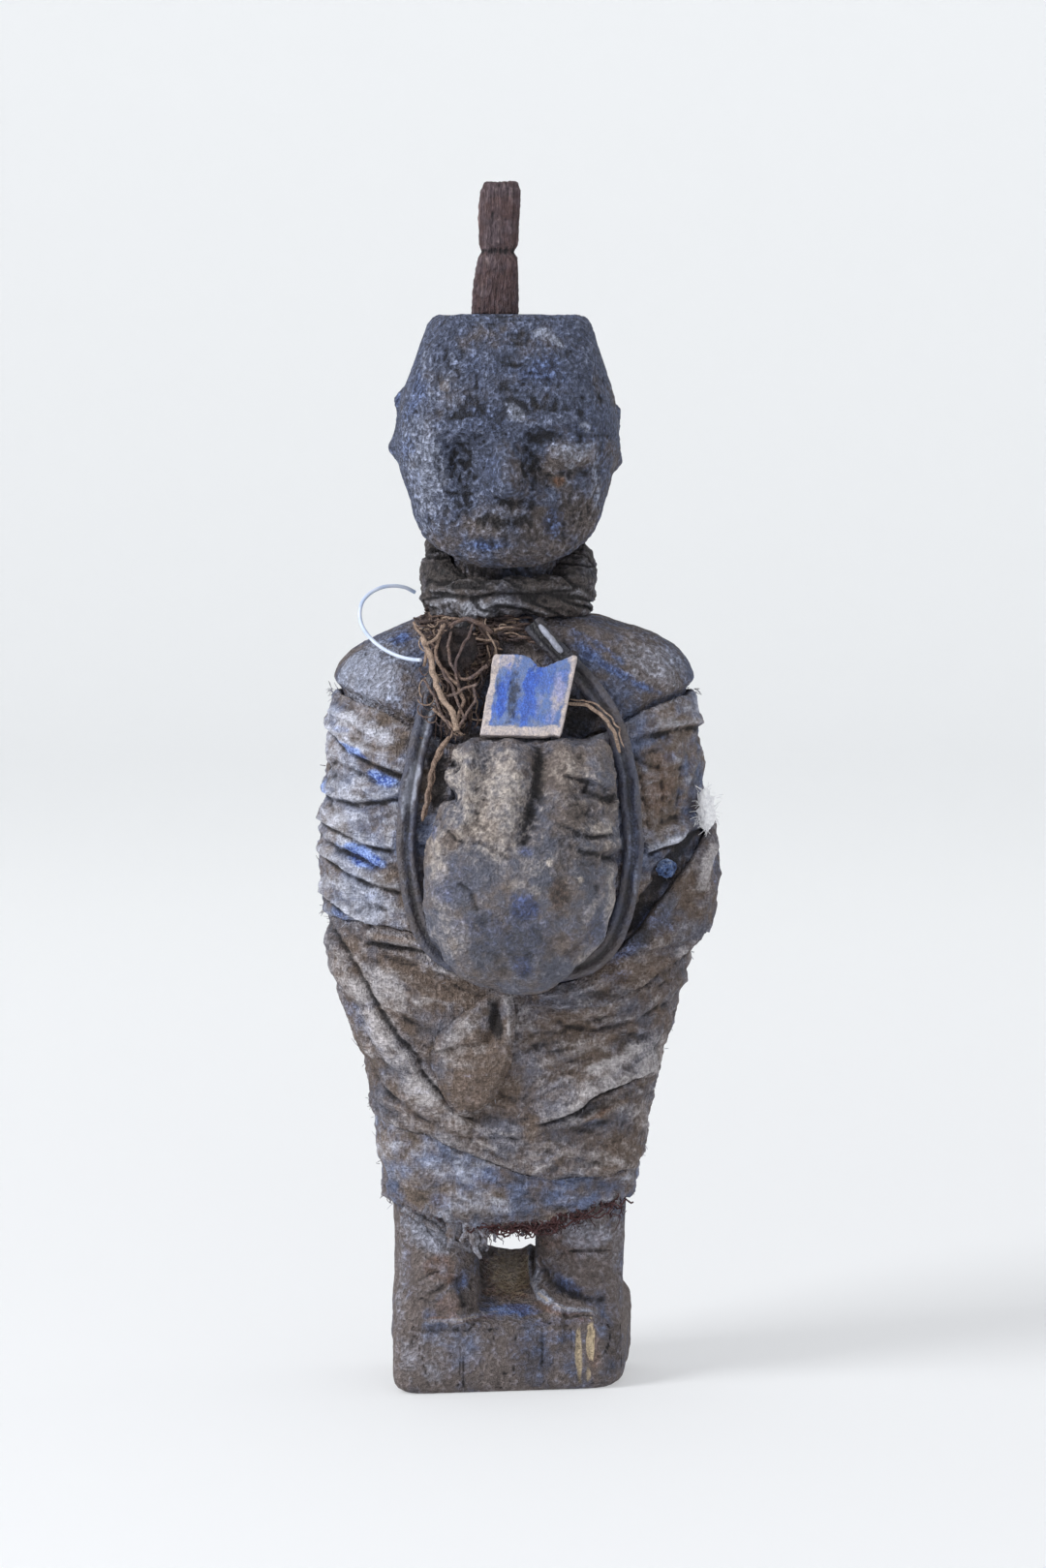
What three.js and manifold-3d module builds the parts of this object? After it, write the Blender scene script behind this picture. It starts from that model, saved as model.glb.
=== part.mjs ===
// A carved wooden fetish figure, bound in cloth, with a pouch strapped on its chest.
// Millimetres, +Z up. The figure looks along -Y and its base stands on Z = 0.
import * as THREE from 'three';
import { mergeVertices } from 'three/addons/utils/BufferGeometryUtils.js';
import Module from 'manifold-3d';

const wasm = await Module();
wasm.setup();

const { degToRad, lerp, smoothstep } = THREE.MathUtils;

// Clearances and wall thicknesses
const touchGap = 0.35;          // between pieces that touch
const clothThickness = 2.6;
const hipStep = 0.4;            // the hip cloth lies this far under the chest cloth
const skirtStep = 1.0;          // and the skirt cloth this far
const skirtThickness = 1.6;
const woodInset = clothThickness + hipStep + 2 * touchGap;

// Heights on the figure
const legTopZ = 84;
const crotchZ = 74;
const shoulderTopZ = 244;
const chinZ = 259.5;
const headTopZ = 337.6;
const pegHeight = 41;

// Places across the figure
const headAxisX = -4.6;         // head, neck and peg stand left of the base's middle
const neckRadius = 17.5;
const neckAxisY = -1.5;

// Facets
const bodySides = 32;
const headSides = 36;

// Outlines, one row for each height: height, left, right, front, back, squareness
const bodyOutline = [
  [50, -42.6, 34.2, -25.6, 25.4, 3.8],
  [63, -45.4, 36.2, -27.4, 26.6, 3.6],
  [82, -47.9, 39.8, -29.2, 27.2, 3.0],
  [98, -49.9, 42.6, -30.6, 27.2, 2.6],
  [113, -53.4, 47.4, -31.6, 27.8, 2.5],
  [132, -59.8, 52.8, -32.6, 28.6, 2.5],
  [148, -63.0, 55.2, -33.2, 29.5, 2.5],
  [170, -64.2, 57.6, -34.0, 31.0, 2.5],
  [193, -63.0, 57.1, -34.0, 32.5, 2.5],
  [212, -60.6, 55.4, -32.5, 33.0, 2.6],
  [226, -59.2, 53.8, -28.5, 31.5, 2.7],
  [232, -55.0, 50.6, -25.6, 29.0, 2.6],
  [238, -44.6, 42.4, -22.5, 25.5, 2.4],
  [241.5, -37.0, 31.5, -20.5, 23.0, 2.2],
  [244, -31.0, 22.0, -19.0, 20.5, 2.1],
];
const headOutline = [
  [259.5, -16.5, 7.3, -25.5, -6.0, 2.2],
  [262, -24.5, 15.3, -29.0, 8.0, 2.3],
  [266, -31.0, 21.2, -31.0, 17.0, 2.4],
  [272, -33.6, 24.0, -32.4, 22.5, 2.6],
  [280, -35.2, 25.9, -33.2, 26.0, 2.8],
  [290, -38.4, 28.8, -34.0, 29.5, 3.1],
  [300, -39.6, 29.8, -34.8, 31.5, 3.3],
  [312, -37.9, 28.2, -35.0, 32.0, 3.4],
  [322, -34.2, 25.4, -33.2, 31.0, 3.6],
  [332, -30.5, 22.0, -29.6, 28.4, 3.8],
  [336.6, -28.4, 20.2, -27.0, 26.2, 3.8],
  [337.6, -26.2, 18.0, -24.6, 24.2, 3.6],
];
const leftLegOutline = [
  [16, -41.6, -13.4, -24.2, 21.0, 4.0],
  [25, -41.6, -13.4, -24.4, 20.6, 3.6],
  [32, -41.0, -13.8, -22.4, 19.6, 3.2],
  [40, -40.6, -14.2, -18.8, 18.8, 3.0],
  [56, -41.0, -13.6, -19.2, 18.8, 3.0],
  [84, -40.0, -12.6, -20.0, 18.0, 2.8],
];
const rightLegOutline = [
  [16, 2.8, 32.2, -13.0, 22.0, 4.0],
  [25, 2.8, 32.2, -13.4, 21.6, 3.6],
  [31, 3.2, 32.0, -11.8, 20.4, 3.2],
  [40, 3.8, 32.2, -9.6, 19.4, 3.0],
  [56, 3.8, 32.8, -14.6, 19.0, 3.0],
  [84, 3.2, 31.8, -18.4, 18.0, 2.8],
];
const pouchOutline = [
  [130.4, -9.0, 4.0, -48.5, -41.6, 2.2],
  [132.4, -15.6, 9.6, -51.6, -41.2, 2.2],
  [137, -21.6, 15.8, -54.6, -41.0, 2.2],
  [145, -27.2, 23.2, -57.0, -38.6, 2.2],
  [157, -30.6, 28.0, -58.4, -35.4, 2.2],
  [171, -31.0, 30.0, -57.6, -34.8, 2.3],
  [182, -28.2, 30.0, -54.8, -34.8, 2.4],
  [190, -25.2, 29.2, -52.2, -34.8, 2.6],
  [199, -24.2, 28.4, -50.4, -34.6, 2.8],
  [205, -21.6, 26.8, -48.8, -34.6, 3.0],
  [207.6, -18.6, 24.0, -47.0, -35.4, 3.0],
];

// Values of a list of rows at one height, on a smooth curve through the rows
function rowAt(rows, height) {
  const last = rows.length - 1;
  if (height <= rows[0][0]) return rows[0].slice(1);
  if (height >= rows[last][0]) return rows[last].slice(1);
  const i = rows.findIndex((row, k) => k < last && rows[k + 1][0] >= height);
  const before = rows[Math.max(i - 1, 0)];
  const from = rows[i];
  const to = rows[i + 1];
  const after = rows[Math.min(i + 2, last)];
  const span = to[0] - from[0];
  const t = (height - from[0]) / span;
  return from.slice(1).map((value, k) => {
    const startSlope = (to[k + 1] - before[k + 1]) / (to[0] - before[0]) * span;
    const endSlope = (after[k + 1] - value) / (after[0] - from[0]) * span;
    const rise = to[k + 1] - value;
    const curve = startSlope * (t ** 3 - 2 * t ** 2 + t) + endSlope * (t ** 3 - t ** 2);
    return value + rise * (3 * t ** 2 - 2 * t ** 3) + curve;
  });
}

// Point of an outline at a height and an angle about its middle, moved out by an offset
function outlinePoint(outline, height, angle, offset = 0) {
  const [left, right, front, back, squareness] = rowAt(outline, height);
  const across = Math.abs(Math.cos(angle) / ((right - left) / 2 + offset)) ** squareness;
  const deep = Math.abs(Math.sin(angle) / ((back - front) / 2 + offset)) ** squareness;
  const reach = (across + deep) ** (-1 / squareness);
  const x = (left + right) / 2 + reach * Math.cos(angle);
  const y = (front + back) / 2 + reach * Math.sin(angle);
  return new THREE.Vector3(x, y, height);
}

// Y of the bound body's front at a place across it
function frontY(x, height, offset = 0) {
  const [left, right, front, back, squareness] = rowAt(bodyOutline, height);
  const across = Math.abs((x - (left + right) / 2) / ((right - left) / 2 + offset));
  const deep = (1 - Math.min(across, 0.999) ** squareness) ** (1 / squareness);
  return (front + back) / 2 - ((back - front) / 2 + offset) * deep;
}

function evenAngles(count) {
  return Array.from({ length: count }, (unused, i) => degToRad(-90) + (i / count) * 2 * Math.PI);
}

function steps(from, to, count) {
  return Array.from({ length: count + 1 }, (unused, i) => lerp(from, to, i / count));
}

// Closed skin over rings of equal count: its ends are capped, or the last ring meets the first
function loft(rings, looped = false) {
  const count = rings[0].length;
  const points = rings.flat();
  const faces = [];
  const spans = looped ? rings.length : rings.length - 1;
  for (let r = 0; r < spans; r += 1) {
    const next = (r + 1) % rings.length;
    for (let i = 0; i < count; i += 1) {
      const j = (i + 1) % count;
      faces.push([r * count + i, r * count + j, next * count + j]);
      faces.push([r * count + i, next * count + j, next * count + i]);
    }
  }
  if (!looped) {
    for (const [r, flip] of [[0, true], [rings.length - 1, false]]) {
      const middle = new THREE.Vector3();
      rings[r].forEach((point) => middle.addScaledVector(point, 1 / count));
      points.push(middle);
      for (let i = 0; i < count; i += 1) {
        const edge = [r * count + i, r * count + ((i + 1) % count)];
        if (flip) edge.reverse();
        faces.push([...edge, points.length - 1]);
      }
    }
  }
  let volume = 0;
  for (const [a, b, c] of faces) {
    volume += points[a].dot(new THREE.Vector3().crossVectors(points[b], points[c]));
  }
  const outward = volume > 0 ? faces : faces.map(([a, b, c]) => [a, c, b]);
  const geometry = new THREE.BufferGeometry();
  const positions = points.flatMap((point) => point.toArray());
  geometry.setAttribute('position', new THREE.Float32BufferAttribute(positions, 3));
  geometry.setIndex(outward.flat());
  return mergeVertices(geometry, 1e-4);
}

function toManifold(geometry) {
  const plain = geometry.clone();
  plain.deleteAttribute('normal');
  plain.deleteAttribute('uv');
  const merged = mergeVertices(plain, 1e-4);
  const vertProperties = new Float32Array(merged.attributes.position.array);
  const triVerts = new Uint32Array(merged.index.array);
  return new wasm.Manifold(new wasm.Mesh({ numProp: 3, vertProperties, triVerts }));
}

function fromManifold(manifold) {
  const mesh = manifold.getMesh();
  const geometry = new THREE.BufferGeometry();
  geometry.setAttribute('position', new THREE.BufferAttribute(mesh.vertProperties.slice(), 3));
  geometry.setIndex(new THREE.BufferAttribute(mesh.triVerts.slice(), 1));
  return geometry;
}

function joined(geometries) {
  return geometries.map(toManifold).reduce((whole, piece) => whole.add(piece));
}

// Round tube along a smooth line through the given points
function tube(points, diameter, sides = 8, count = 16) {
  const path = new THREE.CatmullRomCurve3(points.map((point) => new THREE.Vector3(...point)));
  const corners = evenAngles(sides).map((angle) => (
    new THREE.Vector2(Math.cos(angle), Math.sin(angle)).multiplyScalar(diameter / 2)
  ));
  const shape = new THREE.Shape(corners);
  return new THREE.ExtrudeGeometry(shape, { steps: count, bevelEnabled: false, extrudePath: path });
}

function pebbleShape(size, place, detail = 1) {
  const geometry = new THREE.IcosahedronGeometry(0.5, detail);
  geometry.scale(...size);
  geometry.translate(...place);
  return geometry;
}

// Smooth hump, 1 at its middle and near 0 past its reach
function hump(distance, reach) {
  return Math.exp(-((distance / reach) ** 2));
}

// How far the worn face stands out of the head's plain front, at a place on it
function faceRelief(x, z) {
  const across = x - headAxisX;
  const noseGrowth = smoothstep(304 - z, 0, 17) * (1 - smoothstep(283.5 - z, -1, 3));
  const nose = 6.4 * noseGrowth * hump(across, lerp(3.6, 6.8, smoothstep(302 - z, 0, 18)));
  const brow = 1.4 * hump(z - 303.5, 4) * hump(Math.abs(across) - 13, 9);
  const leftSocket = -3.2 * hump(across + 15, 6) * hump(z - 294, 8);
  const rightSocket = -1.8 * hump(across - 15, 9) * hump(z - 294, 9);
  const rightEye = 2.8 * hump(across - 17, 7) * hump(z - 296.5, 5);
  const lips = 1.8 * hump(across, 9) * (hump(z - 278.6, 1.8) + hump(z - 273.6, 1.8));
  const chin = 1.6 * hump(across, 10) * hump(z - 265, 4);
  return nose + brow + leftSocket + rightSocket + rightEye + lips + chin;
}

// Head: a blunt wedge with a flat crown, closer facets in front for the face.
// Its underside rises from the chin to the nape.
function headShape() {
  const frontCrowding = 0.5;
  const napeLift = 8.6;
  const heights = [
    chinZ, 260.6, 262.4, ...steps(265, 308, 13), 314, 321, 328, 333.6, 336.6, headTopZ,
  ];
  return loft(heights.map((z) => evenAngles(headSides).map((even) => {
    const turn = even + degToRad(90);
    const angle = even - frontCrowding * Math.sin(turn);
    const point = outlinePoint(headOutline, z, angle);
    const facing = smoothstep(-Math.sin(angle), 0.3, 0.8);
    point.z += napeLift * smoothstep(point.y, -27, 2) * (1 - smoothstep(z, chinZ, 280));
    point.y -= facing * faceRelief(point.x, z);
    return point;
  })));
}

// Ear: a raised rim, half sunk in the side of the head and deepest at its waist
const ears = [[-39.2, 304.4, 9], [28.7, 299.4, 8.4]];    // across, height, half its height
function earShape([x, z, halfHeight]) {
  const earY = 2;
  const halfDepth = 6.5;
  const rimRadius = 2.2;
  const waist = 1.6;
  const outward = Math.sign(x - headAxisX);
  return loft(evenAngles(14).map((turn) => evenAngles(5).map((roll) => {
    const spread = 1 + (rimRadius * Math.cos(roll)) / halfHeight;
    return new THREE.Vector3(
      x - outward * waist * Math.cos(turn) ** 2 + rimRadius * Math.sin(roll),
      earY + halfDepth * spread * Math.cos(turn),
      z + halfHeight * spread * Math.sin(turn),
    );
  })), true);
}

function plainLoft(outline, heights, sides) {
  return loft(heights.map((z) => evenAngles(sides).map((angle) => outlinePoint(outline, z, angle))));
}

// Torso with its arms: drawn in under the cloth, full size above the cloth's edge
function torsoShape() {
  const ledge = 3.2;
  const climb = [0, 0.2, 0.4, 0.56, 0.7, 0.82, 0.92, 1];
  const columns = evenAngles(bodySides).map((angle) => {
    const clothEdge = edgeHeight(chestTopEdge, angle);
    const covered = steps(crotchZ, clothEdge + 0.5, 10);
    const bare = climb.map((share) => lerp(clothEdge + ledge, shoulderTopZ, share));
    return [
      ...covered.map((z) => outlinePoint(bodyOutline, z, angle, -woodInset)),
      ...bare.map((z) => outlinePoint(bodyOutline, z, angle)),
    ];
  });
  return loft(columns[0].map((unused, level) => columns.map((column) => column[level])));
}

function neckShape() {
  return loft([shoulderTopZ - 8, 268].map((z) => evenAngles(20).map((angle) => new THREE.Vector3(
    headAxisX + neckRadius * Math.cos(angle),
    neckAxisY + neckRadius * Math.sin(angle),
    z,
  ))));
}

// Four-cornered outline with round corners, drawn in by an inset
function roundedQuad(corners, radius, inset) {
  const middle = corners.reduce((sum, corner) => sum.add(corner), new THREE.Vector2());
  middle.multiplyScalar(1 / corners.length);
  const points = [];
  corners.forEach((corner, i) => {
    const before = corners[(i + 3) % 4].clone().sub(corner).normalize();
    const after = corners[(i + 1) % 4].clone().sub(corner).normalize();
    const shift = middle.clone().sub(corner).normalize().multiplyScalar(inset * Math.SQRT2);
    const at = corner.clone().add(shift);
    for (const t of steps(0, 1, 4)) {
      const start = at.clone().addScaledVector(before, radius);
      const end = at.clone().addScaledVector(after, radius);
      const bend = start.multiplyScalar((1 - t) ** 2).addScaledVector(at, 2 * t * (1 - t));
      points.push(bend.addScaledVector(end, t ** 2));
    }
  });
  return points;
}

// Base block: its sides lean out a little, its top rises to the back
function baseShape() {
  const corners = [[-41.2, -27], [31.4, -17], [35.4, 25.5], [-40.4, 27.5]];
  const plan = corners.map(([x, y]) => new THREE.Vector2(x, y));
  const topAt = (y) => lerp(21.6, 28.4, smoothstep(y, -26, 26));
  const levels = [[0, 2.6], [0.09, 0.7], [0.3, 0], [0.88, 0], [1, 1.8]];
  return loft(levels.map(([share, inset]) => roundedQuad(plan, 9, inset).map((corner) => (
    new THREE.Vector3(corner.x, corner.y, share * topAt(corner.y))
  ))));
}

// Web left between the heels, a hollowed slope that climbs from the front ledge
function heelWebShape() {
  const climb = [[-21, 20.6], [-14, 24.4], [-6, 28.6], [2, 33], [9, 38], [14, 40.5], [19, 38], [21, 30]];
  const hollow = 1.2;
  return loft(climb.map(([y, top]) => (
    [[-22, 14], [12, 14], [12, top + 1], [3.5, top], [-4, top - hollow], [-12, top], [-22, top + 1]]
      .map(([x, z]) => new THREE.Vector3(x, y, z))
  )));
}

function figureShape() {
  const whole = joined([
    torsoShape(),
    neckShape(),
    headShape(),
    ...ears.map(earShape),
    plainLoft(leftLegOutline, [16, 24, 28, 32, 37, 44, 56, legTopZ], 18),
    plainLoft(rightLegOutline, [16, 23, 27, 31, 36, 43, 56, legTopZ], 18),
    baseShape(),
    heelWebShape(),
  ]);
  return fromManifold(whole);
}

// Peg on the crown: a flat stick with worn edges, leaning a little to the right
function pegShape() {
  const footX = -8.8;
  const tipX = -6.9;
  const middleY = 0.5;
  const levels = [            // height above the crown, half width, half depth
    [0, 7.3, 4.4], [6, 7.2, 4.3], [17, 6.4, 4.0], [19, 5.7, 3.8], [24, 6.2, 4.0], [38, 6.3, 3.8],
    [pegHeight, 5.2, 3.0],
  ];
  return loft(levels.map(([rise, halfWidth, halfDepth]) => evenAngles(12).map((angle) => {
    const reach = (Math.abs(Math.cos(angle)) ** 4 + Math.abs(Math.sin(angle)) ** 4) ** -0.25;
    return new THREE.Vector3(
      lerp(footX, tipX, rise / pegHeight) + halfWidth * reach * Math.cos(angle),
      middleY + halfDepth * reach * Math.sin(angle),
      headTopZ + touchGap + rise,
    );
  })));
}

// Collar of wound hide: low under the chin, high at the nape, with two turns showing.
// Its lip stands out more at the sides, where the jaw leaves room.
function neckBandShape() {
  const innerRadius = neckRadius + touchGap + 0.4;
  const chinTopZ = 256.6;
  const napeTopZ = 267.4;
  const footZ = shoulderTopZ + touchGap;
  const depthShare = 0.78;    // the wound hide is this thick in front, against its width
  const turns = [[25.2, 0], [27.4, 0.22], [26.9, 0.44], [27.9, 0.62], [26.4, 0.86]];
  return loft(evenAngles(26).map((angle) => {
    const top = lerp(chinTopZ, napeTopZ, smoothstep(Math.sin(angle), -0.95, 0.2));
    const lip = innerRadius + 4 + 2.4 * Math.abs(Math.cos(angle));
    const section = [[innerRadius, 0], ...turns, [lip, 1], [innerRadius, 1]];
    return section.map(([reach, share]) => new THREE.Vector3(
      headAxisX + reach * Math.cos(angle),
      neckAxisY + lerp(innerRadius, reach, depthShare) * Math.sin(angle),
      lerp(footZ, top, share),
    ));
  }), true);
}

// Band of cloth round the body, between two edges given as heights at each angle
function clothBand(outerOffset, thickness, lowEdge, highEdge, rows) {
  return loft(evenAngles(bodySides).map((angle) => {
    const levels = steps(lowEdge(angle), highEdge(angle), rows);
    const outside = levels.map((z) => outlinePoint(bodyOutline, z, angle, outerOffset));
    const innerOffset = outerOffset - thickness;
    const inside = levels.map((z) => outlinePoint(bodyOutline, z, angle, innerOffset)).reverse();
    return [...outside, ...inside];
  }), true);
}

// Edge heights by angle: each row is an angle in degrees from the front, then the height there
function edgeHeight(rows, angle) {
  const turn = (THREE.MathUtils.radToDeg(angle) + 90 + 540) % 360 - 180;
  return rowAt(rows, turn)[0];
}
const chestTopEdge = [
  [-180, 215], [-120, 219], [-85, 220.5], [-62, 216.5], [-45, 209.5], [-20, 203], [0, 201],
  [20, 203], [45, 209], [62, 217], [85, 220.5], [120, 219], [180, 215],
];
const chestLowEdge = [
  [-180, 147], [-100, 150], [-60, 149.5], [-42, 146], [-15, 140], [0, 138],
  [30, 139], [60, 145], [100, 152], [180, 147],
];
const hipLowEdge = [
  [-180, 84], [-90, 88], [-45, 82.5], [-25, 76.5], [0, 71.5],
  [25, 68.6], [60, 70.5], [100, 78], [180, 84],
];
const skirtLowEdge = [
  [-180, 57], [-110, 60], [-70, 60], [-45, 56], [-20, 52.8], [0, 52.6],
  [25, 54.5], [55, 61], [90, 61], [140, 56], [180, 57],
];

function chestWrapShape() {
  const low = (angle) => edgeHeight(chestLowEdge, angle);
  const high = (angle) => edgeHeight(chestTopEdge, angle);
  return clothBand(0, clothThickness, low, high, 5);
}

function hipWrapShape() {
  const high = (angle) => edgeHeight(chestLowEdge, angle) - touchGap;
  return clothBand(-hipStep, clothThickness, (angle) => edgeHeight(hipLowEdge, angle), high, 4);
}

function skirtWrapShape() {
  const tatter = (angle) => 1.3 * Math.sin(9 * angle) * Math.cos(4 * angle + 1);
  const low = (angle) => edgeHeight(skirtLowEdge, angle) + tatter(angle);
  const high = (angle) => edgeHeight(hipLowEdge, angle) - touchGap;
  return clothBand(-skirtStep, skirtThickness, low, high, 2);
}

// Torn strip slung round the right elbow and drawn in under the pouch.
// Each row is a body angle from the front, then the strip's low and high edge there.
const slingEdges = [
  [11, 124.6, 129.8], [22, 124, 130.6], [34, 123.6, 132.4], [45, 124.4, 137.6], [56, 129.5, 149],
  [67, 137, 163.5], [79, 147, 174], [90, 154.5, 179], [101, 160, 182], [124, 171, 181],
];
function elbowSlingShape() {
  const inner = touchGap + 0.1;
  const fullThickness = 3.4;
  const firstSide = 1;
  const lastSide = 11;
  const sides = evenAngles(bodySides).slice(firstSide, lastSide + 1);
  return loft(sides.map((angle, i) => {
    const turn = THREE.MathUtils.radToDeg(angle) + 90;
    const [low, high] = rowAt(slingEdges, turn);
    const atEnd = i === 0 || i === sides.length - 1;
    const thickness = fullThickness * (atEnd ? 0.45 : 1);
    const levels = steps(low, high, 3);
    const outside = levels.map((z, k) => {
      const swell = k === 0 || k === 3 ? 0.6 : 1;
      return outlinePoint(bodyOutline, z, angle, inner + thickness * swell);
    });
    const inside = levels.map((z) => outlinePoint(bodyOutline, z, angle, inner)).reverse();
    return [...outside, ...inside];
  }));
}

// Cloth end hanging from under the pouch over the hip cloth: height, left, right
const tailLowZ = 89;
const tailHighZ = 129.6;
const tailOutline = [
  [tailLowZ, -20, -15.5], [96, -25.5, -8], [106, -29, -3.5], [114, -27.6, -2.4], [121, -20, -2.2],
  [tailHighZ, -9.5, -3.4],
];
function clothTailShape() {
  const thickness = 2.2;
  return loft(steps(tailLowZ, tailHighZ, 6).map((z) => {
    const [left, right] = rowAt(tailOutline, z);
    const places = steps(left, right, 3);
    const point = (x, off) => new THREE.Vector3(x, frontY(x, z, -hipStep) - off, z);
    return [
      ...places.map((x, i) => point(x, touchGap + thickness * (i === 0 || i === 3 ? 0.5 : 1))),
      ...places.map((x) => point(x, touchGap)).reverse(),
    ];
  }));
}

// Pouch: a stuffed bag, slack and ridged above, round and full below
function pouchShape() {
  const heights = [130.4, 131.8, 134.6, 140, 148, 158, 168, 177, 185, 193, 200, 205, 207.6];
  return loft(heights.map((z) => evenAngles(24).map((angle) => {
    const point = outlinePoint(pouchOutline, z, angle);
    const upper = smoothstep(z, 168, 188);
    const ridge = hump(point.x + 3, 13) ** 2 - 0.35;
    const facing = smoothstep(-Math.sin(angle), 0.2, 0.8);
    point.y -= 2.6 * upper * facing * ridge;
    return point;
  })));
}

// Doubled hide strap hung round the pouch, from collar to collar: x, height, stand-off
const strapRoute = [
  [-17, 242.6, 6.2], [-22, 236, 4.2], [-25.6, 229.4, 3.2], [-29.9, 214.5, 2.9], [-33.4, 199.6, 2.9],
  [-35.6, 186, 2.9], [-35.9, 172, 2.9], [-33.8, 157, 2.9], [-29.9, 146, 2.9], [-22, 138.6, 2.9],
  [-8, 134.6, 2.9], [6, 134.4, 2.9], [18, 136.6, 2.9], [26, 142.6, 2.9], [31, 153, 2.9],
  [33.6, 166.6, 2.9], [33.8, 181.6, 2.9], [31.6, 199.6, 2.9], [26.9, 214.5, 3.0],
  [18, 226.5, 3.6], [8, 236.6, 5.0], [3, 242.6, 6.2],
];
function strapShape() {
  const halfWidth = 3.2;
  const halfThick = 2.2;
  const lip = 1.3;
  const section = [
    [-halfWidth, -halfThick + 0.6], [-halfWidth, lip], [-1.7, halfThick], [0, lip], [1.7, halfThick],
    [halfWidth, lip], [halfWidth, -halfThick + 0.6], [0, -halfThick],
  ];
  const route = strapRoute.map(([x, z, off]) => new THREE.Vector3(x, frontY(x, z) - off, z));
  const path = new THREE.CatmullRomCurve3(route);
  const outward = new THREE.Vector3(0, -1, 0);
  return loft(steps(0, 1, 33).map((share) => {
    const at = path.getPointAt(share);
    const along = path.getTangentAt(share);
    const across = new THREE.Vector3().crossVectors(along, outward).normalize();
    const out = new THREE.Vector3().crossVectors(across, along).normalize();
    return section.map(([u, v]) => at.clone().addScaledVector(across, u).addScaledVector(out, v));
  }));
}

// Broken glazed tile, stood on the pouch and leaning back on the strap
function shardShape() {
  const thickness = 2.8;
  const lean = 21;            // degrees back from upright
  const footY = -42.6;
  const footZ = 208.7;
  const corners = [
    [-13.2, 0], [11.2, -0.6], [11.9, 1], [16.8, 25.2], [15.6, 25.6], [9, 22.8], [6.4, 21.6], [4.6, 21.8],
    [2.2, 24.9], [0, 25.6], [-8.4, 25.9], [-9.3, 25],
  ];
  const shape = new THREE.Shape(corners.map(([x, z]) => new THREE.Vector2(x, z)));
  const geometry = new THREE.ExtrudeGeometry(shape, { depth: thickness, bevelEnabled: false });
  geometry.rotateX(degToRad(90 - lean));
  geometry.translate(0, footY, footZ);
  return geometry;
}

// Clump of root and fibre tied under the collar, with roots hanging from it
function fibreKnotShape() {
  const clump = pebbleShape([16, 7, 14], [-21.5, -34.4, 234.4]);
  const bow = [
    [-27, -34.6, 233], [-24, -36.6, 240.6], [-17, -36.8, 241.6], [-13.6, -36, 234.6], [-17, -35, 229],
  ];
  const root = [[-26.5, -35.6, 233], [-27, -36.4, 225], [-23.5, -38.4, 217.5], [-18.5, -40.6, 209.6]];
  const strand = [[-19, -36, 230], [-18.5, -37.6, 222], [-21, -39.4, 214], [-17.5, -41.4, 209.4]];
  return fromManifold(joined([clump, tube(bow, 3, 6, 9), tube(root, 3, 6, 8), tube(strand, 2.4, 6, 8)]));
}

// Nylon line: out from under the collar, round in the air and down to the knot
const lineDiameter = 1.2;
const lineSteps = 20;
const lineRoute = [
  [-33.8, -9, 251.4], [-36.8, -11, 253], [-40.4, -13, 253.6], [-44, -15, 253.2], [-47.4, -17, 251.6],
  [-49.8, -19, 249], [-50.6, -21, 245.6], [-50, -23, 242.2], [-48, -25, 239], [-45, -27, 236.2],
  [-41.4, -29, 234], [-37.6, -31.4, 232.6], [-34, -34, 232], [-31.4, -36.4, 232],
];
function lineShape() {
  return tube(lineRoute, lineDiameter, 7, lineSteps);
}

function material(color, roughness, metalness = 0) {
  return new THREE.MeshStandardMaterial({ color, roughness, metalness });
}

const wood = material(0x6b6468, 0.9);
const pegWood = material(0x4e3c3e, 0.85);
const hide = material(0x3c3a42, 0.7);
const cloth = material(0x777077, 0.95);
const darkCloth = material(0x6a6264, 0.95);
const pouchHide = material(0x6c656c, 0.85);
const glaze = material(0x44639f, 0.45);
const fibre = material(0x5f5148, 0.95);
const nylon = material(0xb7c6dc, 0.35);
const paint = material(0x4c72b8, 0.6);
const cotton = material(0xe2e2e4, 1);

// Small things caught on the bound body
const strandDiameter = 1.8;
const twigDiameter = 2.6;
const rootStrandRoute = [
  [-22.6, -40.6, 208.8], [-25.6, -40.2, 204.4], [-27.8, -39.6, 198], [-29.4, -38.4, 190],
  [-31, -37.6, 182.4],
];
const tendonRoute = [
  [13.4, -35.4, 218.6], [19, -36.6, 218.2], [24.4, -37.4, 215], [28, -38.2, 209.6],
  [29.8, -38.6, 203.6],
];
const twigRoute = [[5.2, -31.4, 242.4], [8.4, -32, 238.4], [11.8, -32.8, 234.4]];
const pebbleSize = [6.6, 4.4, 5.6];
const tuftSize = [5.6, 8, 15];
const pebbleAt = placeOnBody(66, 168.8, 2.8);
const tuftAt = placeOnBody(78, 187, 3.4);

// Place on the bound body: turn from the front in degrees, height, distance off it
function placeOnBody(turn, height, off) {
  return outlinePoint(bodyOutline, height, degToRad(turn - 90), off).toArray();
}

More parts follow.
